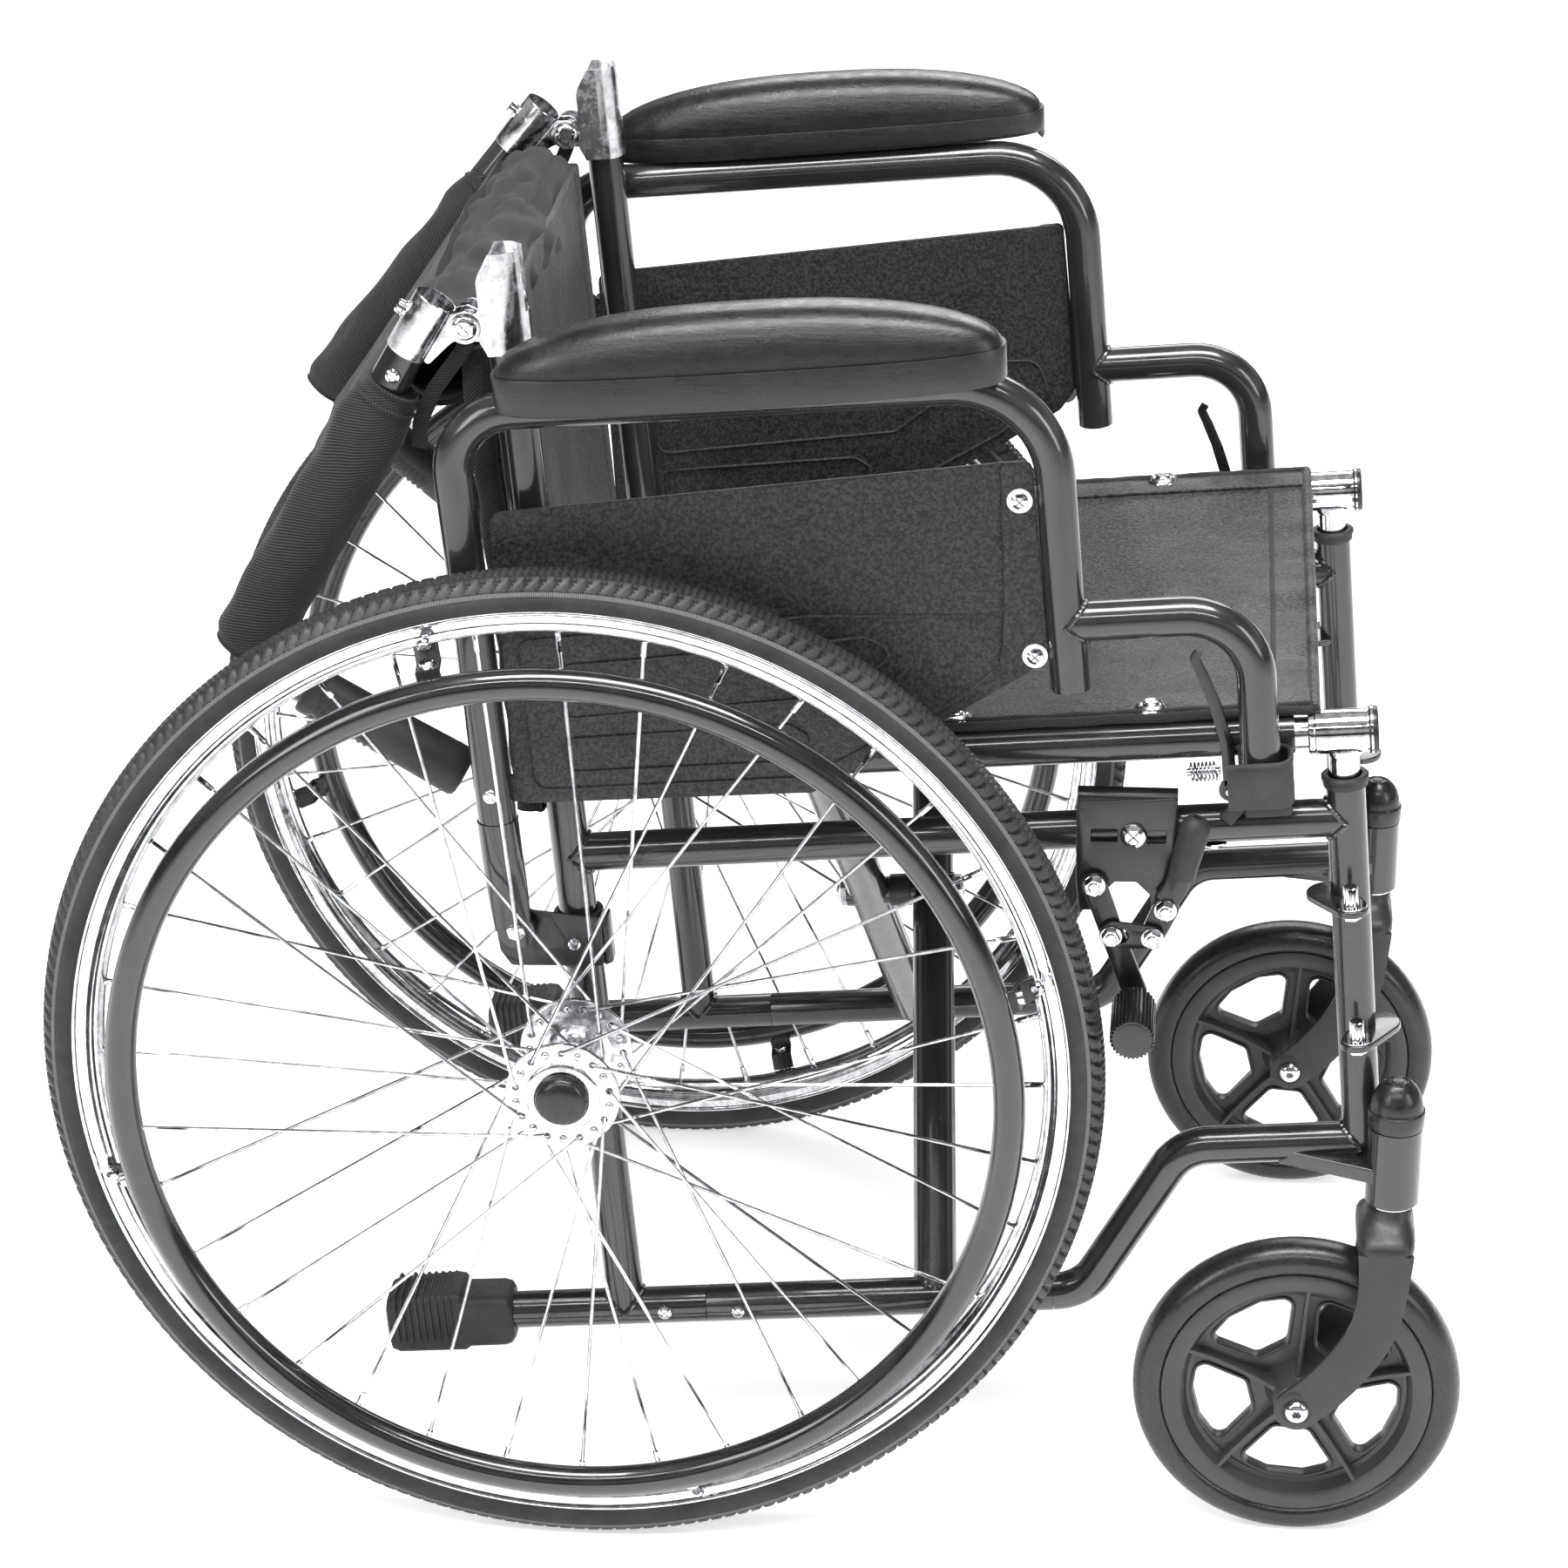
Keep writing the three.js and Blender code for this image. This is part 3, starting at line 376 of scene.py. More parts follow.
def soften(outline, radius, steps=4):
    """The corners of a closed plane outline turned into arcs."""
    made = []
    count = len(outline)
    for i, corner in enumerate(outline):
        p = Vector(corner)
        back = Vector(outline[i - 1]) - p
        on = Vector(outline[(i + 1) % count]) - p
        half = back.angle(on) / 2
        reach = min(radius / tan(half), back.length * 0.49, on.length * 0.49)
        r = reach * tan(half)
        back.normalize()
        on.normalize()
        centre = p + (back + on).normalized() * r / sin(half)
        start, end = p + back * reach - centre, p + on * reach - centre
        made += [tuple(point) for point in arc(centre, start, end, steps)]
    return made


def oblong(a, b, radius, steps=4):
    """A rounded rectangle that reaches a and b either way."""
    return soften([(-a, -b), (a, -b), (a, b), (-a, b)], radius, steps)


def oval(a, b, n):
    return [(a * c, b * s) for c, s in circle(1, n)]


def squared(value, power):
    """Bends a cosine or sine so that an oval drawn with it has fuller corners."""
    return copysign(abs(value) ** power, value)


def circle(radius, n, a=0.0, b=0.0):
    turns = [2 * pi * i / n for i in range(n)]
    return [(a + radius * cos(t), b + radius * sin(t)) for t in turns]


def hull(circles, n=48):
    """The outline round circles given as (a, b, radius)."""
    made = []
    for i in range(n):
        c, s = cos(2 * pi * i / n), sin(2 * pi * i / n)
        a, b, r = max(circles, key=lambda d: d[0] * c + d[1] * s + d[2])
        made.append((a + r * c, b + r * s))
    return made


def carried(points, closed=False, up=None):
    """At each point of a path: the point and two directions across the path, carried along it."""
    made = []
    normal = up
    for i, p in enumerate(points):
        before = points[i - 1] if i or closed else p
        after = points[(i + 1) % len(points)] if i < len(points) - 1 or closed else p
        along = (after - before).normalized()
        if normal is None:
            normal = along.orthogonal()
        normal = (normal - along * normal.dot(along)).normalized()
        made.append((p, normal, along.cross(normal)))
    return made


def sweep(part, points, sections, look, closed=False, up=None):
    """A section, or one section for each point, drawn along a path."""
    single = not isinstance(sections[0][0], (list, tuple))
    rings = []
    for i, (p, a, b) in enumerate(carried(points, closed, up)):
        section = sections if single else sections[i]
        rings.append([p + a * x + b * y for x, y in section])
    part.skin(rings, look, closed)


def tube(part, points, radius, look, n=28, mouth=0.0):
    """A round bar; mouth is how deep its last end is hollow, with a 1.6 mm wall."""
    if not mouth:
        sweep(part, points, circle(radius, n), look)
        return
    last, along = points[-1], (points[-1] - points[-2]).normalized()
    path = points[:-1] + [last - along * 0.5, last, last, last - along * mouth]
    radii = [radius] * (len(path) - 3) + [radius - 0.4, radius - 1.6, radius - 1.6]
    made = carried(points)
    rings = []
    for p, (_, a, b), r in zip(path, made[:-1] + [made[-1]] * 4, radii):
        rings.append([p + a * x + b * y for x, y in circle(r, n)])
    part.skin(rings, look)


def bar(part, start, end, radius, look, n=24, chamfer=0.4):
    """A straight bar with broken edges."""
    along = end - start
    lathe(part, [(0, 0), (radius - chamfer, 0), (radius, chamfer), (radius, along.length - chamfer),
        (radius - chamfer, along.length), (0, along.length)], start, along, look, n)


def lathe(part, profile, centre, axis, look, n=48, closed=False, turn=0.0, shift=None):
    """Profile points are (radius, distance along the axis); shift changes the radius by place."""
    axis = axis.normalized()
    a = UP if abs(axis.z) < 0.9 else FORWARD
    a = (a - axis * a.dot(axis)).normalized()
    b = axis.cross(a)
    rings = []
    for k, (r, t) in enumerate(profile):
        ring = []
        for i in range(n):
            angle = turn + 2 * pi * i / n
            reach = max(r + (shift(i, k) if shift else 0.0), 0.04)
            ring.append(centre + axis * t + (a * cos(angle) + b * sin(angle)) * reach)
        rings.append(ring)
    part.skin(rings, look, closed)


def collar(part, inner, outer, low, high, centre, axis, look, n):
    """A plain ring from low to high along the axis, or a disc where inner is 0."""
    profile = [(inner, low), (outer, low), (outer, high), (inner, high)]
    lathe(part, profile, centre, axis, look, n, closed=inner > 0)


def plate(part, outline, low, high, look, to, holes=(), bevel=0.5):
    """A flat plate with holes and broken edges; to(a, c, b) places a point at height c."""
    curve = bpy.data.curves.new("outline", "CURVE")
    curve.dimensions = "2D"
    curve.fill_mode = "BOTH"
    curve.extrude = (high - low) / 2 - bevel
    curve.bevel_depth = bevel
    curve.bevel_resolution = 2
    curve.offset = -bevel
    for loop in (outline, *holes):
        spline = curve.splines.new("POLY")
        spline.points.add(len(loop) - 1)
        for point, (a, b) in zip(spline.points, loop):
            point.co = (a, b, 0, 1)
        spline.use_cyclic_u = True
    made = bpy.data.objects.new("outline", curve)
    mesh = bpy.data.meshes.new_from_object(made)
    middle = (low + high) / 2
    for vertex in mesh.vertices:
        vertex.co = to(vertex.co.x, middle + vertex.co.z, vertex.co.y)
    before = len(part.bm.faces)
    part.bm.from_mesh(mesh)
    part.bm.faces.ensure_lookup_table()
    look = part.index(look)
    fresh = part.bm.faces[before:]
    for face in fresh:
        face.material_index = look
    joined = list(dict.fromkeys(v for face in fresh for v in face.verts))
    bmesh.ops.remove_doubles(part.bm, verts=joined, dist=0.01)
    bpy.data.objects.remove(made)
    bpy.data.curves.remove(curve)
    bpy.data.meshes.remove(mesh)


def in_plan(a, c, b):
    return at(a, b, c)


def in_level_plan(a, c, b):
    return flat(a, b, c)


def in_side_view(a, c, b):
    return flat(a, c, b)


def in_leaning_view(a, c, b):
    return at(a, c, b)


def dome(part, centre, axis, radius, height, look, n=28):
    profile = [(0, 0), (radius * 0.94, 0), (radius, height * 0.15)]
    profile += [(radius * cos(radians(t)), height * (0.15 + 0.85 * sin(radians(t))))
        for t in (15, 30, 45, 60, 75, 90)]
    lathe(part, profile, centre, axis, look, n)


def cross_screw(part, centre, axis, radius, look=CHROME, height=None):
    """A pan head with a cross recess."""
    height = height or radius * 0.55
    hole = radius * 0.62
    lathe(part, [(hole, 0), (radius, 0), (radius, height * 0.3), (radius * 0.88, height * 0.75),
        (hole, height), (hole, height * 0.3)], centre, axis, look, 28, closed=True)
    dish = [(0, height * 0.35), (hole, height * 0.35), (hole, 0), (0, 0)]
    lathe(part, dish, centre, axis, look, 20)
    a = (UP - axis * UP.dot(axis)).normalized()
    b = axis.cross(a)
    for turn in range(4):
        angle = radians(45 + 90 * turn)
        c, s = cos(angle), sin(angle)
        outline = [(0.12, 0.12), (0.12, 0.86), (0.42, 0.86), (0.86, 0.42), (0.86, 0.12)]
        ring = [[], []]
        for x, y in outline:
            p = (a * (x * c - y * s) + b * (x * s + y * c)) * hole
            ring[0].append(centre + axis * height * 0.3 + p)
            ring[1].append(centre + axis * height * 0.97 + p * 0.97)
        part.skin(ring, look)


def hex_head(part, centre, axis, flats, height, look=CHROME, washer=True, turn=0.3):
    r = flats / 2 / cos(pi / 6)
    if washer:
        collar(part, 0, r * 1.12, 0, 0.9, centre, axis, look, 28)
        centre = centre + axis * 0.9
    lathe(part, [(0, 0), (r, 0), (r, height * 0.82), (r * 0.86, height)], centre, axis, look, 6, turn=turn)
    lathe(part, [(0, height * 0.6), (r * 0.62, height * 0.6), (r * 0.62, height + 0.25),
        (r * 0.5, height + 0.9), (0, height + 1.0)], centre, axis, look, 24)


def nut(part, centre, axis, flats, height, look=CHROME, stud=3.0, turn=0.2):
    """A nut with the rounded end of its bolt standing out of it."""
    r = flats / 2 / cos(pi / 6)
    lathe(part, [(0, 0), (r * 0.9, 0), (r, height * 0.15), (r, height * 0.8), (r * 0.84, height),
        (0, height)], centre, axis, look, 6, turn=turn)
    dome(part, centre + axis * (height - 0.2), axis, r * 0.56, stud, look)


def weld(part, centre, main, branch, look, main_r=TUBE_R, branch_r=TUBE_R, bead=1.7):
    """A rippled fillet where a branch tube meets a main tube."""
    side = main.cross(branch).normalized()
    points = []
    for i in range(64):
        turn = 2 * pi * i / 64
        off = branch_r * sin(turn)
        reach = sqrt(max(main_r * main_r - off * off, 0.0))
        points.append(centre + branch * (reach + 0.3) + (main * cos(turn) + side * sin(turn)) * branch_r)
    sections = [circle(bead * (1 + 0.16 * sin(i * 2.6)), 8) for i in range(64)]
    sweep(part, points, sections, look, closed=True)


def settle(name, part, body, sides="rl", replaces=None, smooth=35, form=None):
    """Makes the right-hand object and its mirror image. {} in a name stands for the side. They replace the
    CAD nodes of the same name, unless others are given."""
    bmesh.ops.recalc_face_normals(part.bm, faces=part.bm.faces)
    mesh = bpy.data.meshes.new(name)
    part.bm.to_mesh(mesh)
    part.bm.free()
    for look in part.looks:
        mesh.materials.append(look)
    mesh.transform(Matrix.Translation((-ORIGIN_X * MM, 0, 0)) @ Matrix.Scale(MM, 4))
    mesh.shade_smooth()
    mesh.set_sharp_from_angle(angle=radians(smooth))
    made = []
    for side in sides:
        own = mesh
        if side == "l":
            own = mesh.copy()
            own.transform(Matrix.Diagonal((1, -1, 1, 1)))
            own.flip_normals()
        thing = bpy.data.objects.new(name if side == "m" else f"{name}_{WORD[side]}", own)
        bpy.context.collection.objects.link(thing)
        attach(thing, body.format(WORD[side]))
        nodes = [name + "_{}"] if replaces is None else replaces
        if nodes:
            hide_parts(*[node.format(side) for node in nodes])
        if form:
            form(thing)
        made.append(thing)
    return made


# ------------------------------------------------------------------ rear wheel
WHEEL = flat(0, -WHEEL_Y, WHEEL_R)


def wheel_ways(turn):
    """The directions outward and sideways at a turn from the top of a wheel."""
    return flat(sin(turn), 0, cos(turn)), flat(cos(turn), 0, -sin(turn))


def on_wheel(radius, turn, y):
    return flat(radius * sin(turn), y, WHEEL_R + radius * cos(turn))


def make_tyre():
    part = Part()
    blocks, steps = 227, 6
    count = blocks * steps
    edges = [3.5, 4.5, 12, 19.5, 20.5, 26, 27, 34, 42, 50, 57, 61, 62.5, 66, 67, 75, 76, 79, 84, 91, 96, 99,
        102, 109, 118, 128]
    angles = [-a for a in reversed(edges)] + edges
    profile = [(291.8 + 12.9 * cos(radians(a)), 16.8 * sin(radians(a))) for a in angles]

    def depth(i, k):
        angle = abs(angles[k])
        side = 1 if angles[k] > 0 else -1
        phase = (i / steps + 0.75 * (angle / 62) ** 2 + 0.25 * side) % 1
        if angle < 4 or 20 < angle < 26.5:
            return -1.7
        if angle < 20:
            return -1.7 if phase % 0.5 < 0.16 else 0.0
        if angle < 62:
            return -2.9 if phase < 0.33 else 0.0
        if angle > 95 and angle < 103:
            return 0.6
        return -0.8 if angle < 64 or 77 < angle < 80 else 0.0

    lathe(part, profile, WHEEL, ACROSS, TYRE, count, closed=True, shift=depth)
    tread, band = part.index(TREAD), part.index(BAND)
    for i, face in enumerate(part.bm.faces):
        k = i // count
        angle = (abs(angles[k]) + abs(angles[(k + 1) % len(angles)])) / 2
        if angle < 64:
            face.material_index = tread
        elif angle < 76:
            face.material_index = band
    settle("rear_tyre", part, "wheel_{}", smooth=40)


def make_wheel():
    part = Part()
    half = [(287.4, 12.3), (288.0, 13.2), (287.2, 14.2), (285.2, 14.5), (283.6, 13.9), (282.8, 13.0),
        (281.4, 12.7), (279.0, 13.0), (277.4, 12.7), (276.4, 11.7), (275.2, 11.4), (273.2, 10.6),
        (271.2, 8.2), (270.0, 4.6), (269.7, 0.0)]
    rim = half + [(r, -t) for r, t in reversed(half[:-1])] + [(285.6, -12.2), (284.4, -8), (281.5, 0),
        (284.4, 8), (285.6, 12.2)]
    lathe(part, rim, WHEEL, ACROSS, CHROME, 180, closed=True)
    flange_out, flange_in = -32, 25
    for flange, way in ((flange_out, -1), (flange_in, 1)):
        holes = [circle(1.9, 10, 27 * sin(a), 27 * cos(a)) for a in [radians(20 * k + (0 if way < 0 else 10))
            for k in range(18)]]
        outline = circle(32.5, 72)
        plate(part, outline, flange - 1.6, flange + 1.6, ZINC, lambda a, c,
            b: flat(a, -WHEEL_Y + c, WHEEL_R + b), [*holes, circle(15, 36)], 0.5)
    barrel = [(7.2, -35), (19, -35), (21, -34.2), (21.6, -33.4), (21.6, -30.4), (17, -28.5), (15.5, -20),
        (15.5, 14), (17, 22), (20.5, 23.4), (20.5, 26.6), (13, 28.4), (7.2, 28.4)]
    lathe(part, barrel, WHEEL, ACROSS, ZINC, 48, closed=True)
    for i in range(SPOKES):
        rim_turn = radians(360 / SPOKES * i)
        flange, rim_side = (flange_out, -3) if i % 2 == 0 else (flange_in, 3)
        way = 1 if i % 4 < 2 else -1
        start = on_wheel(27, rim_turn + way * radians(60), -WHEEL_Y + flange + 2.6 * way)
        end = on_wheel(270.5, rim_turn, -WHEEL_Y + rim_side)
        bend = start.lerp(end, 0.006)
        inside = flat(start.x, start.y - 4.6 * way, start.z)
        path = [inside, flat(start.x, start.y - 1.2 * way, start.z), bend, end]
        tube(part, path, 1.05, SPOKE_STEEL, 8)
        dome(part, inside, Vector((0, -way, 0)), 2.1, 1.3, SPOKE_STEEL, 12)
        along = (end - start).normalized()
        lathe(part, [(0, 0), (1.7, 0.3), (1.8, 1), (1.8, 11.5), (2.3, 12), (2.4, 13.5), (0, 13.5)],
            end - along * 13, along, CHROME, 10)
    settle("rear_wheel", part, "wheel_{}")


def make_handrim():
    part = Part()
    lathe(part, [(HANDRIM_R + 9 * cos(a), 9 * sin(a)) for a in [radians(15 * k) for k in range(24)]],
        flat(0, -HANDRIM_Y, WHEEL_R), ACROSS, HANDRIM_PAINT, 160, closed=True)
    for k in range(4):
        turn = radians(-15 + 90 * k)
        ring = flat(0, -HANDRIM_Y, WHEEL_R)
        out, side = wheel_ways(turn)
        saddle = ring + out * (HANDRIM_R + 8)
        strap = [ring + out * (HANDRIM_R + 5) + ACROSS * 6, saddle + ACROSS * 7 + out * 3,
            saddle + ACROSS * 16 + out * 5, on_wheel(274, turn, -WHEEL_Y - 15.5)]
        sections = [[(a, b) for a, b in oblong(7, 1.6, 1)]] * len(strap)
        sweep(part, strap, sections, GLOSS_PLASTIC, up=side)
        bar(part, saddle + ACROSS * 11 + out * 1, saddle + ACROSS * 11 + out * 8, 4.4, CHROME, 20)
        cross_screw(part, on_wheel(275, turn, -WHEEL_Y - 18.6), (out * -0.5 + OUT).normalized(), 4.4)
        bar(part, on_wheel(275, turn, -WHEEL_Y - 18.6), on_wheel(275, turn, -WHEEL_Y - 13), 2.4, CHROME, 16)
    settle("handrim", part, "wheel_{}")


def make_axle():
    part = Part()
    y = -WHEEL_Y - 36.3
    lathe(part, [(0, 0), (15.6, 0), (15.8, -1.8), (14.6, -2.6), (14.6, -3.6), (13.6, -5.6), (11, -7.4),
        (6, -8.3), (0, -8.5)], flat(0, y, WHEEL_R), ACROSS, GLOSS_PLASTIC, 48)
    bar(part, flat(0, y + 0.5, WHEEL_R), flat(0, -SIDE_Y + 19, WHEEL_R), 6, ZINC)
    lathe(part, [(0, 0), (9.5, 0), (9.5, 2), (8, 2.6), (8, 8), (0, 8)], flat(0, -SIDE_Y - 22, WHEEL_R),
        ACROSS, ZINC, 32)
    collar(part, 6.2, 13.5, 0, 1.6, flat(0, -SIDE_Y - 12.9, WHEEL_R), ACROSS, ZINC, 32)
    nut(part, flat(0, -SIDE_Y + 11.6, WHEEL_R), ACROSS, 19, 7, ZINC, 4)
    settle("rear_axle", part, "frame_{}")


# ------------------------------------------------------------------ caster
CASTER = flat(CASTER_X, -CASTER_Y, CASTER_R)


def make_caster_tyre():
    part = Part()
    half = [(76.0, 9.4), (79.4, 10.8), (80.0, 12.2), (82.6, 13.4), (86.4, 13.5), (89.8, 12.4), (92.8, 10.2),
        (94.9, 7.0), (95.8, 3.6), (96.0, 0)]
    profile = half + [(r, -t) for r, t in reversed(half[:-1])]
    lathe(part, profile, CASTER, ACROSS, CASTER_RUBBER, 160, closed=True)
    settle("caster_tyre", part, "caster_wheel_{}", smooth=50)


def make_caster_wheel():
    part = Part()
    half = [(79.4, 10.6), (79.0, 12.0), (77.6, 12.8), (70.4, 12.6), (68.2, 11.6), (66.6, 8.6), (64.6, 5.2),
        (62, 4.2)]
    rim = [(r, -t) for r, t in half] + [(r, t) for r, t in reversed(half)]
    lathe(part, rim, CASTER, ACROSS, CASTER_PLASTIC, 120, closed=True)
    hub = [(4.8, -HUB_REACH), (11.6, -HUB_REACH), (13.2, -HUB_REACH + 1.2), (14.2, -12), (18.4, -4),
        (18.4, 4), (14.2, 12), (13.2, HUB_REACH - 1.2), (11.6, HUB_REACH), (4.8, HUB_REACH)]
    lathe(part, hub, CASTER, ACROSS, CASTER_PLASTIC, 48, closed=True)

    def to(a, c, b):
        return flat(CASTER_X + a, -CASTER_Y + c, CASTER_R + b)

    first = radians(4)
    holes = []
    for k in range(5):
        middle = first + radians(72 * k + 36)
        window = []
        for r, a in ((61, -29.4), (61.8, -10), (61.8, 10), (61, 29.4), (29.2, 21), (29.2, -21)):
            turn = middle + radians(a)
            window.append((r * sin(turn), r * cos(turn)))
        holes.append(soften(window, 6.5, 7))
    plate(part, circle(64.5, 96), -3.2, 3.2, CASTER_PLASTIC, to, holes, 0.8)
    lip = oblong(1.0, 4.8, 0.8, 2)
    for hole in holes:
        path = [to(a, 0, b) for a, b in hole]
        sweep(part, path, lip, CASTER_PLASTIC, closed=True, up=ACROSS.cross((path[1] - path[0]).normalized()))
    for k in range(5):
        turn = first + radians(72 * k)
        out, side = wheel_ways(turn)
        path = [CASTER + out * r for r in (12, 22, 36, 54, 68.5)]
        sections = [oblong(t, h, 0.7, 2) for t, h in ((1.8, 17), (1.6, 13.4), (1.5, 10.4), (1.4, 9.6),
            (1.4, 11.6))]
        sweep(part, path, sections, CASTER_PLASTIC, up=side)
    settle("caster_wheel", part, "caster_wheel_{}")


def make_fork():
    part = Part()
    line = [(467.6, 200.5), (467.6, 194), (467.2, 181), (466, 167), (463, 152), (457.6, 140), (450.6, 129),
        (443, 118.5), (434, 108), (427, 101.6), (CASTER_X, CASTER_R)]
    widths = [16.0, 15.4, 14.4, 13.9, 13.6, 13.5, 13.4, 13.4, 13.4, 13.3, 13.2]
    inner, outer = FORK_LEG
    for way in (-1, 1):
        path = [flat(x, -CASTER_Y + way * (inner + outer) / 2, z) for x, z in line]
        sections = []
        for w in widths:
            face = [(w * f, 2.25 - 1.1 * abs(f) ** 3) for f in (-1, -0.9, -0.7, -0.4, 0, 0.4, 0.7, 0.9, 1)]
            back = [(w * f, -2.25 + (0.8 if abs(f) == 1 else 0)) for f in (1, 0.94, -0.94, -1)]
            sections.append([(a, b * -way) for a, b in face + back])
        sweep(part, path, sections, PLASTIC, up=FORWARD)
        lathe(part, [(0, -2.2), (12.4, -2.2), (13.2, -1.4), (13.2, 1.2), (12.2, 2.0), (8.6, 2.3), (8.2, 1.9),
            (0, 1.9)], flat(CASTER_X, -CASTER_Y + way * (inner + outer) / 2, CASTER_R), ACROSS * way, PLASTIC,
            48)
    levels = [(220.6, 12.0, 12.2, 0.95), (219.6, 12.9, 13.4, 0.95), (216.6, 13.2, 14.6, 0.9),
        (213.4, 13.6, 17.4, 0.8), (210.6, 14.6, 22.4, 0.66), (208.4, 15.8, 27.2, 0.55),
        (206.2, 16.6, 30.2, 0.48), (203.6, 16.9, 31.4, 0.42), (200, 16.8, 31.7, 0.4),
        (197.4, 16.2, 31.7, 0.4), (196.6, 15.2, 31.0, 0.4), (198.8, 13.6, 27.2, 0.4), (200.4, 11, 22, 0.5)]
    rings = []
    for z, a, b, power in levels:
        middle = HEAD_X - 2.9 * min(1, (221 - z) / 12)
        ring = []
        for c, s in circle(1, 64):
            ring.append(flat(middle + a * squared(c, power), -CASTER_Y + b * squared(s, power), z))
        rings.append(ring)
    part.skin(rings, PLASTIC)
    bar(part, flat(HEAD_X, -CASTER_Y, 206), flat(HEAD_X, -CASTER_Y, HEAD_Z[1] - 4), 8.3, ZINC)
    lathe(part, [(8.2, 219.8), (12.8, 219.8), (13.4, 220.4), (13.4, 221.1), (12.4, 221.7), (8.2, 221.7)],
        flat(HEAD_X, -CASTER_Y, 0), UP, CHROME, 40, closed=True)
    settle("caster_fork", part, "caster_fork_{}", smooth=40)


def make_caster_axle():
    part = Part()
    face = FORK_LEG[1] + 0.2
    bar(part, CASTER - ACROSS * face, CASTER + ACROSS * face, 4, ZINC)
    for way in (-1, 1):
        head = [(2.4, 2.9), (2.4, 0.6), (0, 0.6), (0, 0), (7.0, 0), (7.2, 0.8), (6.8, 2.2), (5.6, 3.4),
            (3.9, 4.2), (2.6, 4.4)]
        lathe(part, head, CASTER + ACROSS * (face * way), ACROSS * way, CHROME, 36, closed=True)
    settle("caster_axle", part, "caster_fork_{}")


def make_stem_cap():
    part = Part()
    profile = [(0, 0.4), (15.8, 0.4), (16.2, 1.0), (16.5, 9.6), (16.3, 10.6), (15.5, 11.0), (15.2, 11.6),
        (15.1, 13.4), (14.6, 17), (13.2, 21), (11.2, 24.4), (8.6, 27), (7.6, 27.7), (7.3, 27.2), (6.4, 27.9),
        (6.1, 28.5), (5.5, 28.7), (4.9, 28.1), (3.6, 28.4), (3.2, 29.0), (0, 29.4)]
    lathe(part, profile, flat(HEAD_X, -CASTER_Y, HEAD_Z[1]), UP, GLOSS_PLASTIC, 64)
    settle("caster_stem_cap", part, "frame_{}")


# ------------------------------------------------------------------ side frame
def teardrop(part, w, lobe):
    y = -SIDE_Y
    pin = (FRONT_U, y - 22)
    outline = hull([(FRONT_U + lobe, y, 13), (*pin, 10)])
    plate(part, outline, w - 2, w + 2, PAINT, in_plan, [], 0.9)
    base = at(*pin, w + 2)
    collar(part, 0, 8.6, 0, 0.8, base, LEAN_W, CHROME, 28)

    def flute(i, k):
        return -0.5 if i % 3 == 0 and 1 < k < 4 else 0.0

    lathe(part, [(0, 0.8), (4.2, 0.8), (4.3, 1.4), (4.3, 11), (3.6, 12), (0, 12)], base, LEAN_W, CHROME, 36,
        shift=flute)
    under = at(*pin, w - 2)
    collar(part, 0, 8, 0, 0.8, under, -LEAN_W, CHROME, 28)
    nut(part, under - LEAN_W * 0.8, -LEAN_W, 9.6, 3.4, CHROME, 1.6)


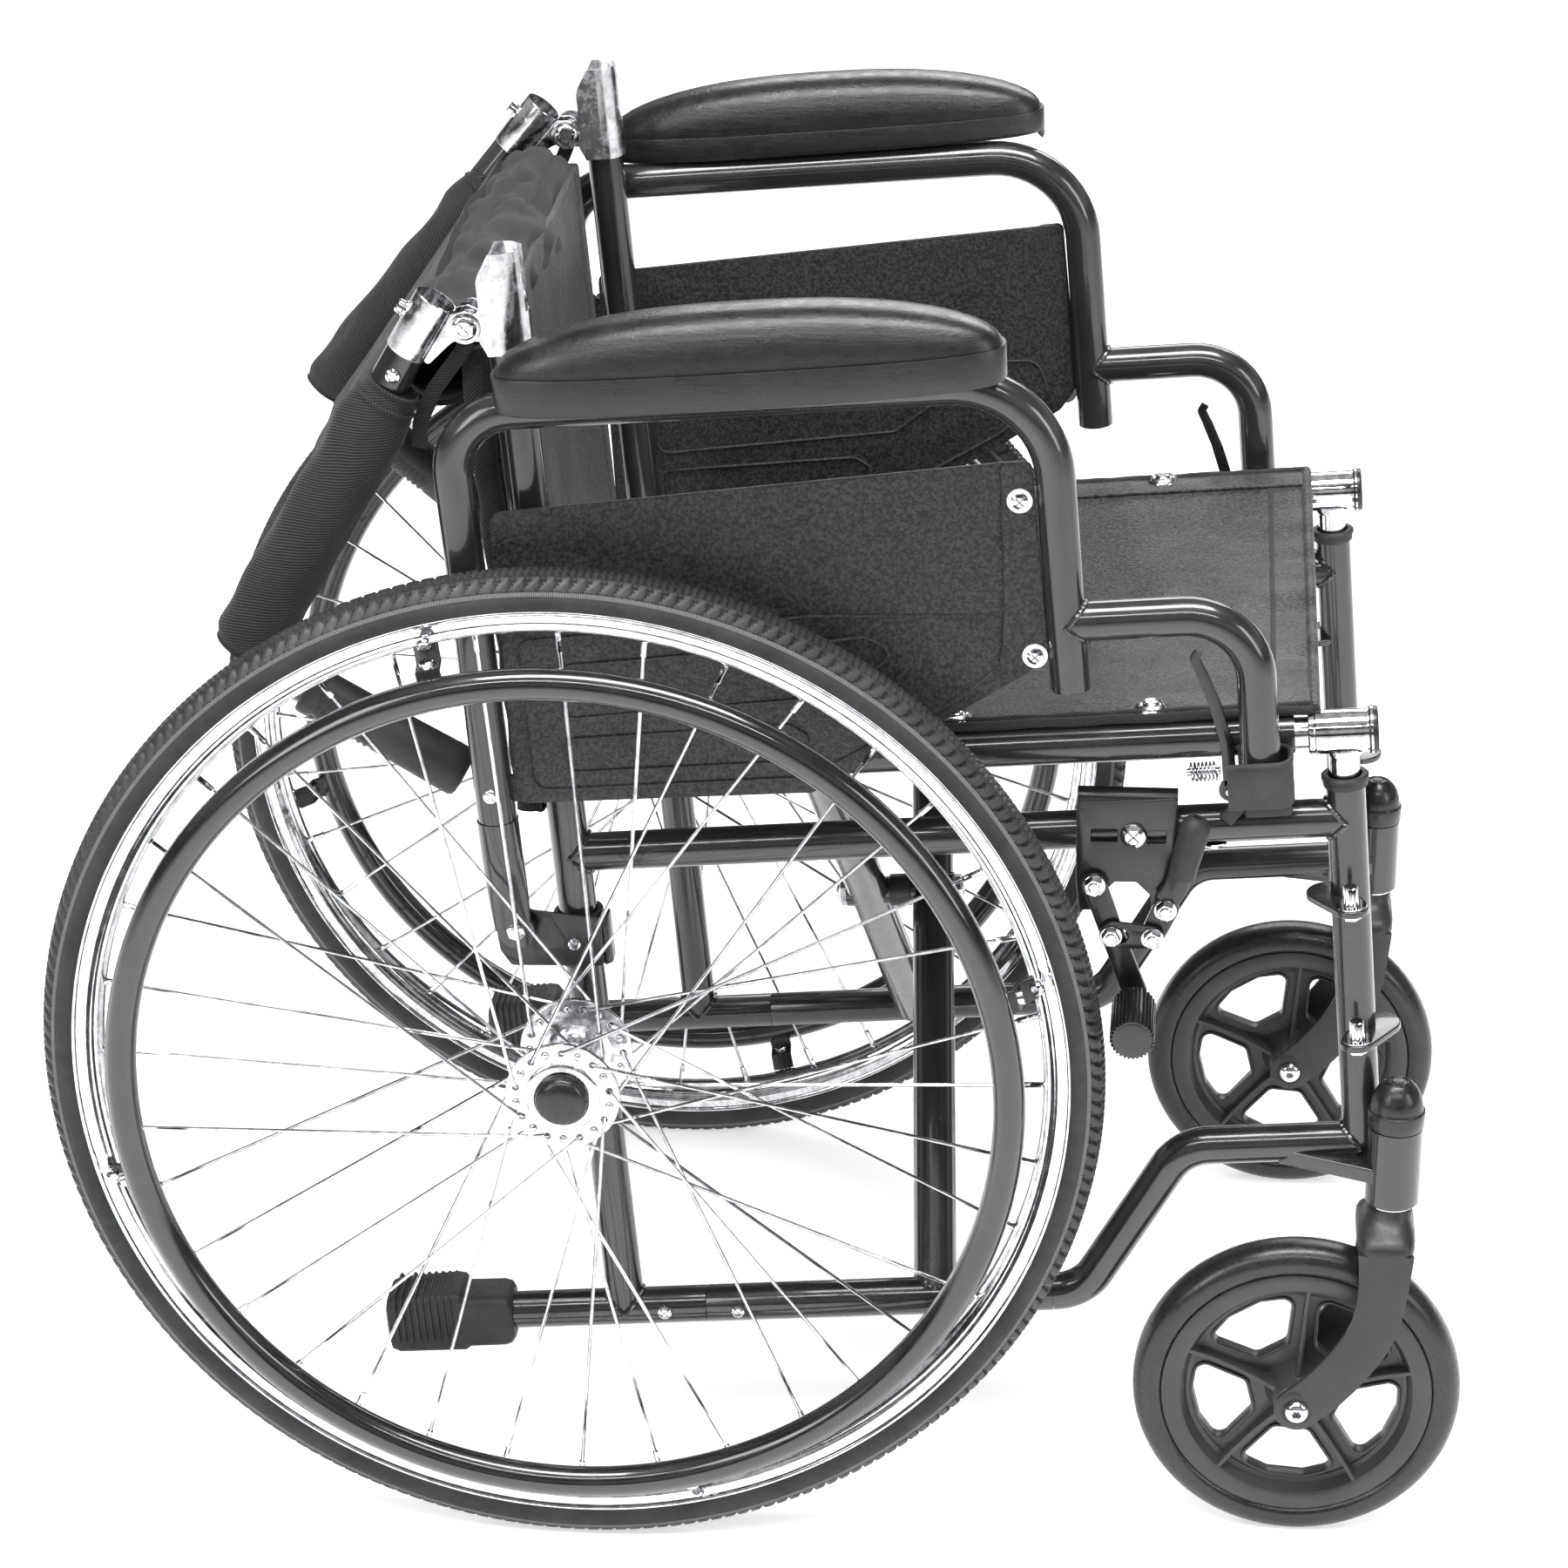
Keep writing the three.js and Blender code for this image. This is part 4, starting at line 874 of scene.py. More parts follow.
def make_side_frame():
    part = Part()
    y = -SIDE_Y
    tube(part, [at(REAR_U, y, LOW_W), at(REAR_U, y, 725.4)], TUBE_R, PAINT, mouth=12)
    tube(part, [at(-100, y, LOW_W), at(80.6, y, LOW_W)], TUBE_R, PAINT)
    bar(part, at(80, y, LOW_W), at(288, y, LOW_W), 8.5, PAINT)
    knee = [at(287.4, y, LOW_W), at(304.6, y, LOW_W), at(368.6, y, KNEE_W), at(FRONT_U, y, KNEE_W)]
    tube(part, rounded(knee, 30, 10), TUBE_R, PAINT)
    tube(part, [at(REAR_U, y, MID_W), at(FRONT_U, y, MID_W)], TUBE_R, PAINT)
    tube(part, [at(FRONT_U, y, KNEE_W - 6), at(FRONT_U, y, 436.5)], TUBE_R, PAINT, mouth=40)
    lathe(part, [(9.9, 434), (12.3, 434), (12.6, 434.6), (12.6, 437.6), (13.4, 438.4), (13.4, 440.2),
        (12.4, 441), (9.9, 441)], at(FRONT_U, y, 0), LEAN_W, GRIP, 36, closed=True)
    weld(part, at(REAR_U, y, MID_W), LEAN_W, LEAN_U, PAINT)
    weld(part, at(FRONT_U, y, MID_W), LEAN_W, -LEAN_U, PAINT)
    weld(part, at(FRONT_U, y, KNEE_W), LEAN_W, -LEAN_U, PAINT)
    weld(part, at(REAR_U, y, LOW_W), LEAN_U, LEAN_W, PAINT)
    head = flat(HEAD_X, -CASTER_Y, 0)
    lathe(part, [(9.3, HEAD_Z[0]), (15.2, HEAD_Z[0]), (15.7, HEAD_Z[0] + 0.6), (15.7, HEAD_Z[1] - 0.4),
        (15.2, HEAD_Z[1]), (9.3, HEAD_Z[1])], head, UP, PAINT, 48, closed=True)
    gusset = soften([(402, -193), (440, -186), (480, -206), (474, -226), (458, -226), (405, -205)], 3)
    plate(part, gusset, 236, 245.5, PAINT, in_level_plan, [], 1.2)
    for low, high, start, end in ((235.6, 246, (402.6, -200), (402.8, -200.4)),
            (245.6, 246, (420, -195), (468, -199)), (236, 246, (459.6, -224), (460.2, -224.6))):
        ripple = []
        for k in range(13):
            f = k / 12
            ripple.append(flat(start[0] + (end[0] - start[0]) * f, start[1] + (end[1] - start[1]) * f,
                low + (high - low) * f))
        sweep(part, ripple, [circle(2.0 + 0.7 * (k % 2), 8) for k in range(13)], PAINT)
    teardrop(part, 367, -12)
    teardrop(part, 283, 12)
    cross_screw(part, at(56, y - TUBE_R + 0.5, LOW_W + 1), OUT, 4.6)
    cross_screw(part, at(REAR_U, y - TUBE_R + 0.5, 703), OUT, 4.8)
    nut(part, at(398, y + 1, MID_W - TUBE_R), -LEAN_W, 10, 3.4, CHROME, 2.2)
    collar(part, 0, 8.5, 0, 1, at(398, y + 1, MID_W - TUBE_R + 0.5), -LEAN_W, CHROME, 28)
    settle("side_frame", part, "frame_{}")


def make_tipping_foot():
    part = Part()
    y = -SIDE_Y
    stations = [(-112, 104, 128, 13), (-110.5, 98.5, 132.6, 15.6), (-106, 97, 134.4, 16.8),
        (-70, 97, 136.4, 17), (-66, 97, 135.6, 17), (-63, 98.5, 131.5, 15.6), (-42, 98.5, 131.4, 15.4),
        (-38, 99.5, 130.4, 14.6), (-36, 102, 128, 12.6)]
    rings = []
    for u, low, high, half in stations:
        outline = soften([(y - half, low), (y + half, low), (y + half, high), (y - half, high)], 5.5, 4)
        rings.append([at(u, a, b) for a, b in outline])
    part.skin(rings, GRIP)
    for k in range(9):
        u = -105.5 + 4.2 * k
        high = 134.6 + 0.05 * k
        path = [at(u, y - 17.3, 106), at(u, y - 17.4, high - 3), at(u, y - 14, high + 0.6),
            at(u, y + 14, high + 0.6), at(u, y + 17.4, high - 3), at(u, y + 17.3, 106)]
        sweep(part, rounded(path, 2.5, 3), circle(1.0, 8), GRIP)
    settle("tipping_foot", part, "frame_{}")


# ------------------------------------------------------------------ hinge and back canes
def wrap_ring(rear, w, slot=0, way=0):
    """One level of a sheet bent round the cane, open to the rear; with a slot, the half on one side of it."""
    y, (inner, outer), n = -SIDE_Y, HINGE_SHEET, 16
    start, end = -90, 90
    if way < 0:
        end = -slot
    if way > 0:
        start = slot
    turns = [radians(start + (end - start) * i / n) for i in range(n + 1)]
    ring = [at(REAR_U + outer * cos(t), y + outer * sin(t), w) for t in turns]
    back = [at(REAR_U + inner * cos(t), y + inner * sin(t), w) for t in reversed(turns)]
    if way <= 0:
        ring = [at(rear, y - outer, w)] + ring
        back = back + [at(rear, y - inner, w)]
    if way >= 0:
        ring = ring + [at(rear, y + outer, w)]
        back = [at(rear, y + inner, w)] + back
    return ring + back


def make_lower_hinge():
    part = Part()
    y = -SIDE_Y

    def rear_edge(w):
        if 725.5 < w < 741:
            return HINGE_U - sqrt(8.6 ** 2 - (w - HINGE_W) ** 2)
        return REAR_U - 13.5

    low = [(716, REAR_U - 10), (718, REAR_U - 10.6), (721, REAR_U - 12)]
    low += [(w, rear_edge(w)) for w in range(724, 739)]
    high = [(w, rear_edge(w)) for w in (738, 739, 740, 741)]
    high += [(w, REAR_U + rear) for w, rear in ((743.5, -12.4), (746, -12), (758, -12), (762, -10.6),
        (768, -7), (771.4, -5), (773, -4))]
    part.skin([wrap_ring(rear, w) for w, rear in low], ZINC)
    for way in (-1, 1):
        part.skin([wrap_ring(rear, w, 25, way) for w, rear in high], ZINC)
        lathe(part, [(4.6, 0), (9, 0), (9, 0.5), (8.4, 0.8), (4.6, 0.8)],
            at(HINGE_U, y + way * 13.0, HINGE_W), ACROSS * way, ZINC, 32, closed=True)
    collar(part, 11.3, 12.9, 715.6, 726.6, at(REAR_U, y, 0), LEAN_W, ZINC, 40)
    settle("lower_hinge_sleeve", part, "frame_{}")
    part = Part()
    bar(part, at(HINGE_U, y - 14, HINGE_W), at(HINGE_U, y + 14, HINGE_W), 4, CHROME)
    for way in (-1, 1):
        cross_screw(part, at(HINGE_U, y + way * 13.6, HINGE_W), ACROSS * way, 6.8, CHROME, 1.5)
    settle("back_hinge_bolt", part, "frame_{}")


def make_upper_hinge(side):
    part = Part()
    y = -SIDE_Y
    place = hung(BACK_FOLD[side])
    up = place(0, 0, 1) - place(0, 0, 0)
    profile = [(11.3, 731), (11.7, 730.8), (12.0, 731.2), (12.0, 765.4), (11.7, 766), (11.3, 765.8)]
    lathe(part, profile, place(REAR_U, y, 0), up, ZINC, 48, closed=True)
    web = soften([(4, 731), (7, 726.5), (15, 727), (20.5, 732), (21, 764), (17.5, 764), (12, 744)], 2.6)
    for way in (-1, 1):
        plate(part, web, way * 6.2 - 0.8, way * 6.2 + 0.8, ZINC, lambda a, c, b: place(a, y + c, b),
            [circle(4.4, 20, HINGE_U, HINGE_W)], 0.3)
    spine = [place(*p) for p in ((18.6, y, 763), (13, y, 746), (8.6, y, 738.4))]
    sweep(part, rounded(spine, 8, 5), oblong(0.8, 6.4, 0.4, 2), ZINC, up=ACROSS.cross(up))
    bar(part, place(REAR_U + 8, y, 745), place(REAR_U + 17.2, y, 745), 4.0, CHROME, 24, 0.9)
    bar(part, place(REAR_U + 8, y, 745), place(REAR_U + 13.2, y, 745), 4.9, CHROME, 24, 0.6)
    settle("upper_hinge_sleeve", part, "back_upper_{}", side)


def make_upper_cane(side):
    part = Part()
    y = -SIDE_Y
    place = hung(BACK_FOLD[side])
    path = [place(REAR_U, y, 740.5), place(REAR_U, y, CORNER_W), place(REAR_U - 139, y, CORNER_W)]
    tube(part, rounded(path, 38, 12), TUBE_R, PAINT)
    cross_screw(part, place(REAR_U, y - TUBE_R + 0.4, 778.4), OUT, 4.4)
    settle("upper_back_cane", part, "back_upper_{}", side)
    part = Part()
    stations = [(43.5, 13.4), (44.4, 14.9), (47, 15.3), (50.5, 15.2), (52.5, 14.2)]
    stations += [(54 + 2 * k, 14.6 if k % 2 else 13.2) for k in range(19)]
    stations += [(93, 14.1), (112, 14.5), (134, 14.9), (142.6, 14.9), (144.8, 13.8), (145.7, 11.5),
        (145.6, 5.4), (143, 5.2)]
    rings = []
    for s, r in stations:
        ring = []
        for i in range(36):
            t = 2 * pi * i / 36
            reach = 14.2 if 52 < s < 92 and cos(t) < 0 else r
            ring.append(place(REAR_U - s, y + reach * sin(t), CORNER_W + reach * cos(t)))
        rings.append(ring)
    part.skin(rings, GRIP)
    settle("push_grip", part, "back_upper_{}", side)


# ------------------------------------------------------------------ cross brace and seat rails
def make_brace(side):
    part = Part()
    rail_y = SIDE_Y if side == "l" else -SIDE_Y
    u = 217 if side == "l" else 177
    lathe(part, [(9.2, 81), (11.0, 81), (11.2, 81.5), (11.2, 286.5), (11.0, 287), (9.2, 287)],
        at(0, -rail_y, LOW_W), LEAN_U, PAINT, 36, closed=True)
    tube(part, [at(u, -rail_y, LOW_W), at(u, rail_y, RAIL_W)], 12.7, PAINT)
    tube(part, [at(62, rail_y, RAIL_W), at(446, rail_y, RAIL_W)], TUBE_R, PAINT)
    bar(part, at(440, rail_y, RAIL_W), at(486, rail_y, RAIL_W), 9, ZINC)
    dome(part, at(62.4, rail_y, RAIL_W), -LEAN_U, TUBE_R, 3, GLOSS_PLASTIC)
    along = (at(u, rail_y, RAIL_W) - at(u, -rail_y, LOW_W)).normalized()
    weld(part, at(u, -rail_y, LOW_W), LEAN_U, along, PAINT, 11.2, 11.2)
    weld(part, at(u, rail_y, RAIL_W), LEAN_U, -along, PAINT)
    out = copysign(1, -rail_y)
    cross_screw(part, at(100, -rail_y + out * 10.8, LOW_W), ACROSS * out, 4.2)
    middle = at(u, 0, (LOW_W + RAIL_W) / 2)
    collar(part, 5.7, 9, -13.4, 13.4, middle, LEAN_U, PAINT, 28)
    word = WORD[side]
    settle(f"cross_brace_{word}", part, f"brace_{word}_rail", "m", [f"cross_brace_{side}"])


def make_brace_bolt():
    part = Part()
    w = (LOW_W + RAIL_W) / 2
    bar(part, at(158.5, 0, w), at(235.5, 0, w), 5, ZINC)
    hex_head(part, at(229.9, 0, w), LEAN_U, 15, 4.6, ZINC)
    nut(part, at(164, 0, w), -LEAN_U, 15, 5, ZINC)
    collar(part, 5, 10, 190.8, 203.2, at(0, 0, w), LEAN_U, PLASTIC, 32)
    settle("cross_brace_bolt", part, "brace_left_rail", "m", ["cross_brace_bolt"])


def make_seat_post():
    part = Part()
    y = -SIDE_Y
    sleeve = [(9.8, 453.4), (11.9, 453.4), (12.3, 454), (12.3, 456.6), (11.9, 457.2), (12.5, 457.8),
        (12.5, 485.2), (12.1, 486.0), (13.0, 486.3), (13.0, 487.0), (9.8, 487.0)]
    lathe(part, sleeve, at(0, y, RAIL_W), LEAN_U, CHROME, 48, closed=True)
    lathe(part, [(0, 487.1), (13.0, 487.1), (13.4, 487.8), (13.4, 491.4), (12.8, 492.3), (0, 492.9)],
        at(0, y, RAIL_W), LEAN_U, GLOSS_PLASTIC, 48)
    lathe(part, [(13.35, 488.0), (13.85, 488.2), (13.85, 489.4), (13.35, 489.6)], at(0, y, RAIL_W), LEAN_U,
        CHROME, 48, closed=True)
    tube(part, [at(FRONT_U, y, 232), at(FRONT_U, y, RAIL_W - 9)], 8.6, CHROME, 36)
    lathe(part, [(8.5, 452.4), (9.8, 452.8), (10.6, 454.4), (11.6, 457.6), (8.5, 457.6)], at(FRONT_U, y, 0),
        LEAN_W, CHROME, 40, closed=True)
    settle("seat_post", part, "seat_post_{}")


# ------------------------------------------------------------------ armrest
def arm_pivot(y):
    return at(ARM_PIVOT[0], y, ARM_PIVOT[1])


def make_arm_bracket():
    part = Part()
    y = -SIDE_Y
    lathe(part, [(11.7, 347), (14.2, 347), (14.6, 347.6), (14.6, 377.6), (14.2, 378.4), (11.7, 378.4)],
        at(REAR_U, y, 0), LEAN_W, PLASTIC, 40, closed=True)
    strap = soften([(-15, 386), (-13.5, 362), (-8, 352), (46, 349), (47, 379), (8, 386), (2, 390)], 3)
    plate(part, strap, -213.4, -211.2, BRAKE_PAINT, in_leaning_view, [circle(4.3, 20, *ARM_PIVOT)], 0.5)
    nose = [at(46.5, -212.3, 364), at(49.5, -209, 364), at(49.5, -199, 364)]
    sweep(part, rounded(nose, 3, 4), oblong(14.5, 1.1, 0.5, 2), BRAKE_PAINT, up=LEAN_W)
    hex_head(part, arm_pivot(-221.9), OUT, 9.6, 2.4, CHROME, False)
    bar(part, arm_pivot(-224), arm_pivot(-209), 4, CHROME)
    cross_screw(part, at(30, -213.3, 364), OUT, 4.0)
    settle("arm_bracket", part, "frame_{}")


def make_arm_frame():
    part = Part()
    y = -ARM_Y
    loop = [at(ARM_REAR_U, y, 432), at(ARM_REAR_U, y, ARM_TOP_W), at(ARM_FRONT_U, y, ARM_TOP_W),
        at(ARM_FRONT_U, y, 511)]
    tube(part, rounded(loop, [36, 55], 12), TUBE_R, PAINT, mouth=10)
    branch = [at(ARM_FRONT_U, y, ARM_BRANCH_W), at(ARM_STUB_U, y, ARM_BRANCH_W), at(ARM_STUB_U, y, 444)]
    tube(part, rounded(branch, 38, 12), TUBE_R, PAINT, mouth=10)
    weld(part, branch[0], LEAN_W, LEAN_U, PAINT)
    lower = [at(ARM_REAR_U, y + inward, w) for inward, w in ((3.2, 378), (2.8, 396), (1.2, 414), (0, 428),
        (0, 449))]
    shapes = [oval(w, h, 28) for w, h in ((10.6, 2.6), (11.6, 3.6), (12, 7.4), (11.9, 11.4), (11.9, 11.9))]
    sweep(part, lower, shapes, PAINT, up=LEAN_U)
    collar(part, 4.4, 10.6, -2.2, 2.2, arm_pivot(y + 3.4), ACROSS, PAINT, 36)
    settle("arm_frame", part, "armrest_{}")


PAD_U, PAD_Y = 166.5, -241


def pad_outline(grow):
    """The pad's plan: a long form with round ends."""
    made = []
    for c, s in circle(1, 72):
        made.append((PAD_U + (136.5 + grow) * squared(c, 0.62), PAD_Y + (26.6 + grow) * squared(s, 0.72)))
    return made


def make_arm_pad():
    part = Part()
    band_levels = [(697.5, -1.0), (696.2, 0.6), (698, 1.7), (706, 1.9), (716.4, 2.3), (717.4, 1.9),
        (717.2, 0.4), (715, -1.5)]
    rings = []
    for w, grow in band_levels:
        ring = []
        for a, b in pad_outline(grow):
            drop = 0.0
            if w < 700 and b > -236:
                drop = min(1.0, (b + 236) / 3) * 5.4
            lift = (a - 30) / 273 * 1.6 if w < 700 else 0.0
            ring.append(at(a, b, w + drop + lift))
        rings.append(ring)
    part.skin(rings, VINYL_BAND)
    settle("arm_pad_band", part, "armrest_{}", replaces=[], form=lambda o: o)
    part = Part()
    rings = []
    for k in range(13):
        t = k / 12 * pi / 2
        keep = 1 - (1 - cos(t) ** 0.72) * 0.98
        ring = []
        for a, b in pad_outline(0.4):
            u = PAD_U + (a - PAD_U) * keep
            crown = 23.5 + 7 * (1 - ((u - 165) / 150) ** 2)
            ring.append(at(u, PAD_Y + (b - PAD_Y) * keep, 716.2 + crown * sin(t) ** 0.9))
        rings.append(ring)
    part.skin([[at(a, b, 715.6) for a, b in pad_outline(-0.6)], *rings], VINYL)
    settle("arm_pad_crown", part, "armrest_{}", replaces=["arm_pad_{}"],
        form=lambda o: o)


def ridge(part, points, y):
    """A low bead round a pressed field."""
    sweep(part, [at(a, y, b) for a, b in points], oval(1.1, 0.88, 8), PANEL, closed=True, up=ACROSS)


def make_side_panel():
    part = Part()
    outline = soften([(8.8, 458), (177, 456), (262, 500), (303, 522), (312.5, 534), (312.5, 645),
        (14, 631.5)], 7)
    plate(part, outline, -ARM_Y - 1.4, -ARM_Y + 1.4, PANEL, in_leaning_view, [], 0.7)
    for way in (-1, 1):
        y = -ARM_Y + way * 1.4
        ridge(part, soften([(20, 556), (186, 562), (290, 556), (297, 534), (262, 508), (176, 466), (20, 466)],
            9, 5), y)
        ridge(part, soften([(44, 540), (150, 544), (214, 548), (232, 538), (196, 514), (40, 508)], 7, 4), y)
        ridge(part, soften([(42, 496), (168, 498), (182, 488), (160, 476), (40, 476)], 6, 4), y)
    strip = soften([(286, 520), (306, 531), (314.6, 535), (313, 645), (296, 644.4), (292, 560)], 4)
    plate(part, strip, -ARM_Y - 3.4, -ARM_Y - 1.2, PANEL, in_leaning_view, [], 0.7)
    for u, w in ((305, 623), (307, 532.6)):
        lathe(part, [(0, 0), (7.4, 0), (7, 1), (0, 1.2)], at(u, -ARM_Y - 3.2, w), OUT, ZINC, 28)
        cross_screw(part, at(u, -ARM_Y - 4.2, w), OUT, 4.8)
    cross_screw(part, at(-3, -ARM_Y - 11.0, 467), OUT, 4.4, CHROME, 1.4)
    clip = soften([(-9, 460), (14, 459), (14, 476), (-9, 474)], 3)
    plate(part, clip, -ARM_Y - 1.3, -ARM_Y + 1.3, PANEL, in_leaning_view, [], 0.5)
    settle("side_panel", part, "armrest_{}")


def make_arm_cup():
    part = Part()
    y = -ARM_Y
    wall = [(408, y - 14.2), (443.4, y - 14.2), (443.4, y + 14), (414, y + 14)]
    path = rounded([at(a, b, 452.5) for a, b in wall], [9, 9], 7)
    sections = [soften([(-13.4, -1.2), (12.6, -1.2), (12.6, 1.2), (-13.4, 1.2)], 0.9, 3)] * len(path)
    sweep(part, path, sections, GRIP, up=LEAN_W)
    lip = [p + LEAN_W * 12.2 for p in path]
    sweep(part, lip, circle(1.7, 10), GRIP, up=LEAN_W)
    plate(part, soften([(412, y - 13.6), (442.6, y - 13.6), (442.6, -190), (412, -190)], 5), 438.4, 441, GRIP,
        in_plan, [], 0.6)
    plate(part, soften([(416, -220), (442.6, -220), (442.6, -190), (416, -190)], 3), 426, 439, GRIP, in_plan,
        [], 0.8)
    hook = [at(416, -209.6, 437), at(412, -210.2, 428), at(405, -210.4, 421)]
    sweep(part, hook, soften([(-5, -1.2), (5, -1.2), (4, 1.2), (-4, 1.2)], 0.6, 2), GRIP, up=LEAN_U)
    bar(part, at(409, -216, 440), at(409, -209.3, 440), 2.9, CHROME)
    settle("arm_cup", part, "frame_{}")


SPRING_Y, SPRING_W = -204.6, 449


def make_latch():
    part = Part()
    middle = -211.0
    path = [at(409, middle, 436), at(408.6, middle, 468), at(402, middle, 496), at(396.6, middle - 0.4, 512),
        at(393.4, middle - 0.6, 520), at(396, middle - 0.6, 524)]
    path = rounded(path, [60, 60, 30, 1.6], 5)
    shapes = []
    for k in range(len(path)):
        w = 3.8 - 1.2 * k / (len(path) - 1)
        shapes.append(oblong(w, 1.4, 0.8, 2))
    sweep(part, path, shapes, BRAKE_PAINT, up=LEAN_U)
    collar(part, 3.7, 6.6, -1.4, 1.4, at(409, middle, 440), ACROSS, BRAKE_PAINT, 28)
    settle("arm_latch_lever", part, "latch_{}")
    part = Part()
    coil = []
    for i in range(121):
        turn = 2 * pi * 7 * i / 120
        coil.append(at(387 + 15 * i / 120, SPRING_Y + 5 * cos(turn), SPRING_W + 5 * sin(turn)))
    sweep(part, coil, circle(0.75, 8), CHROME)
    bar(part, at(385, SPRING_Y, SPRING_W), at(404, SPRING_Y, SPRING_W), 2.2, ZINC)
    settle("latch_spring", part, "frame_{}", replaces=[])


# ------------------------------------------------------------------ brake
OUTER_FACE, INNER_FACE = 8.6, 4.6  # the brake arm's and the lever's faces, outward from the plate


def on_brake(point, out):
    return flat(point[0], BRAKE_Y - out, point[1])


def make_brake_plate():
    part = Part()
    outline = soften([(283.5, 463), (284, 416), (286, 397), (299, 398), (300.5, 409), (306, 415.4),
        (318, 415.6), (326, 408), (328, 394), (341.4, 394), (342, 425), (340, 468)], 2.4)
    slots = [soften([(a, 447.6), (b, 447.9), (b, 439.8), (a, 439.5)], 1.2, 2) for a,
        b in ((292, 306.8), (323.6, 334))]
    plate(part, outline, BRAKE_Y - 3.8, BRAKE_Y - 0.2, BRAKE_PAINT, in_side_view, slots, 0.7)
    lip = [flat(312, BRAKE_Y - 2, 463), flat(312, BRAKE_Y - 1.4, 467.6), flat(312, BRAKE_Y + 4, 469.6)]
    tilt = at(28.2, 0, 0)
    sweep(part, rounded(lip, 2, 4), oblong(28.2, 1.6, 0.8, 2), BRAKE_PAINT, up=tilt)
    cross_screw(part, flat(315.8, BRAKE_Y - 3.6, 444.5), OUT, 7.6, CHROME, 3.4)
    for point in (BRAKE_A, BRAKE_D):
        bar(part, on_brake(point, 9.5), on_brake(point, 2), 3, ZINC)
        hex_head(part, on_brake(point, 9), OUT, 9.8, 3.4, CHROME, True, 0.2)
    settle("brake_plate", part, "frame_{}")


def brake_pin(part, point, flats, turn):
    """A pin through two brake members, with its head outside."""
    bar(part, on_brake(point, 14.5), on_brake(point, INNER_FACE), 2.6, ZINC)
    hex_head(part, on_brake(point, 13.4), OUT, flats, 3.2, CHROME, True, turn)


def brake_strip(part, circles, holes=()):
    plate(part, hull(circles), BRAKE_Y - OUTER_FACE, BRAKE_Y - INNER_FACE, BRAKE_PAINT, in_side_view, holes)


def make_brake_arm():
    part = Part()
    brake_strip(part, [(*BRAKE_A, 7), (*BRAKE_B, 6.6)], [circle(3.8, 20, *BRAKE_A)])
    brake_strip(part, [(*BRAKE_B, 6.6), (DRUM[0], DRUM[1] + 2, 7)])
    brake_pin(part, BRAKE_B, 9.4, 0.5)
    bar(part, flat(DRUM[0], -232, DRUM[1]), on_brake(DRUM, INNER_FACE), 5, BRAKE_PAINT)

    def knurl(i, k):
        return -1.4 if 0 < k < 5 and i % 4 < 2 else 0.0

    profile = [(11.4, -230), (12.6, -230.8), (12.6, -250), (12.6, -272.2), (12.2, -273), (11.0, -273.6)]
    lathe(part, profile, flat(DRUM[0], 0, DRUM[1]), ACROSS, BRAKE_PAINT, 120, shift=knurl)
    dome(part, flat(DRUM[0], -273.2, DRUM[1]), OUT, 10.8, 1.0, BRAKE_PAINT, 40)
    settle("brake_arm", part, "brake_arm_{}")


def make_brake_link():
    part = Part()
    slot = hull([(*BRAKE_B, 4.6), (BRAKE_B[0] + 5, BRAKE_B[1], 4.6)], 24)
    outline = hull([(BRAKE_B[0] + 1.5, BRAKE_B[1], 8.2), (*BRAKE_C, 6.6)])
    plate(part, outline, BRAKE_Y - 13.0, BRAKE_Y - 9.8, BRAKE_PAINT, in_side_view,
        [slot, circle(3.4, 20, *BRAKE_C)], 0.4)
    settle("brake_link", part, "brake_link_{}")


LEVER_Y = -222


def make_brake_lever():
    part = Part()
    brake_strip(part, [(*BRAKE_C, 6.8), (*BRAKE_D, 7.4)], [circle(3.8, 20, *BRAKE_D)])
    neck = [flat(BRAKE_D[0], BRAKE_Y - 6.6, BRAKE_D[1] + 5), flat(340, BRAKE_Y - 7.4, 414),
        flat(342.6, -219.6, 424), flat(343.6, LEVER_Y, 431)]
    sweep(part, neck, [oblong(w, 2, 1.2, 3) for w in (7, 7, 6.6, 5.6)], BRAKE_PAINT, up=FORWARD)
    brake_pin(part, BRAKE_C, 9.8, 0.1)
    along = (flat(352, LEVER_Y, 461) - flat(343.6, LEVER_Y, 424)).normalized()
    profile = [(0, 0), (6.8, 0), (7.8, 1), (7.9, 8), (8.4, 20), (8.7, 29), (8.5, 32), (7.4, 35.4),
        (5.2, 37.4), (3.4, 38.2), (2.6, 38.3), (2.2, 35.6), (0, 35.6)]
    lathe(part, profile, flat(343.2, LEVER_Y, 424), along, GRIP, 36)
    settle("brake_lever", part, "brake_lever_{}")


# ------------------------------------------------------------------ cloth
def cloth_wave(x, y, scale, depth, seed):
    return depth * noise.noise(Vector((x / scale, y / scale, seed)))


def sheet_part(rows, columns, place, thickness, look):
    """A cloth sheet with both faces and closed edges; place(s, t) gives a point and its outward direction."""
    part = Part()
    loops = []
    for i in range(rows + 1):
        points = [place(i / rows, k / columns) for k in range(columns + 1)]
        face = [p + n * thickness / 2 for p, n in points]
        back = [p - n * thickness / 2 for p, n in points]
        loops.append(face + list(reversed(back)))
    part.skin(loops, look)
    return part


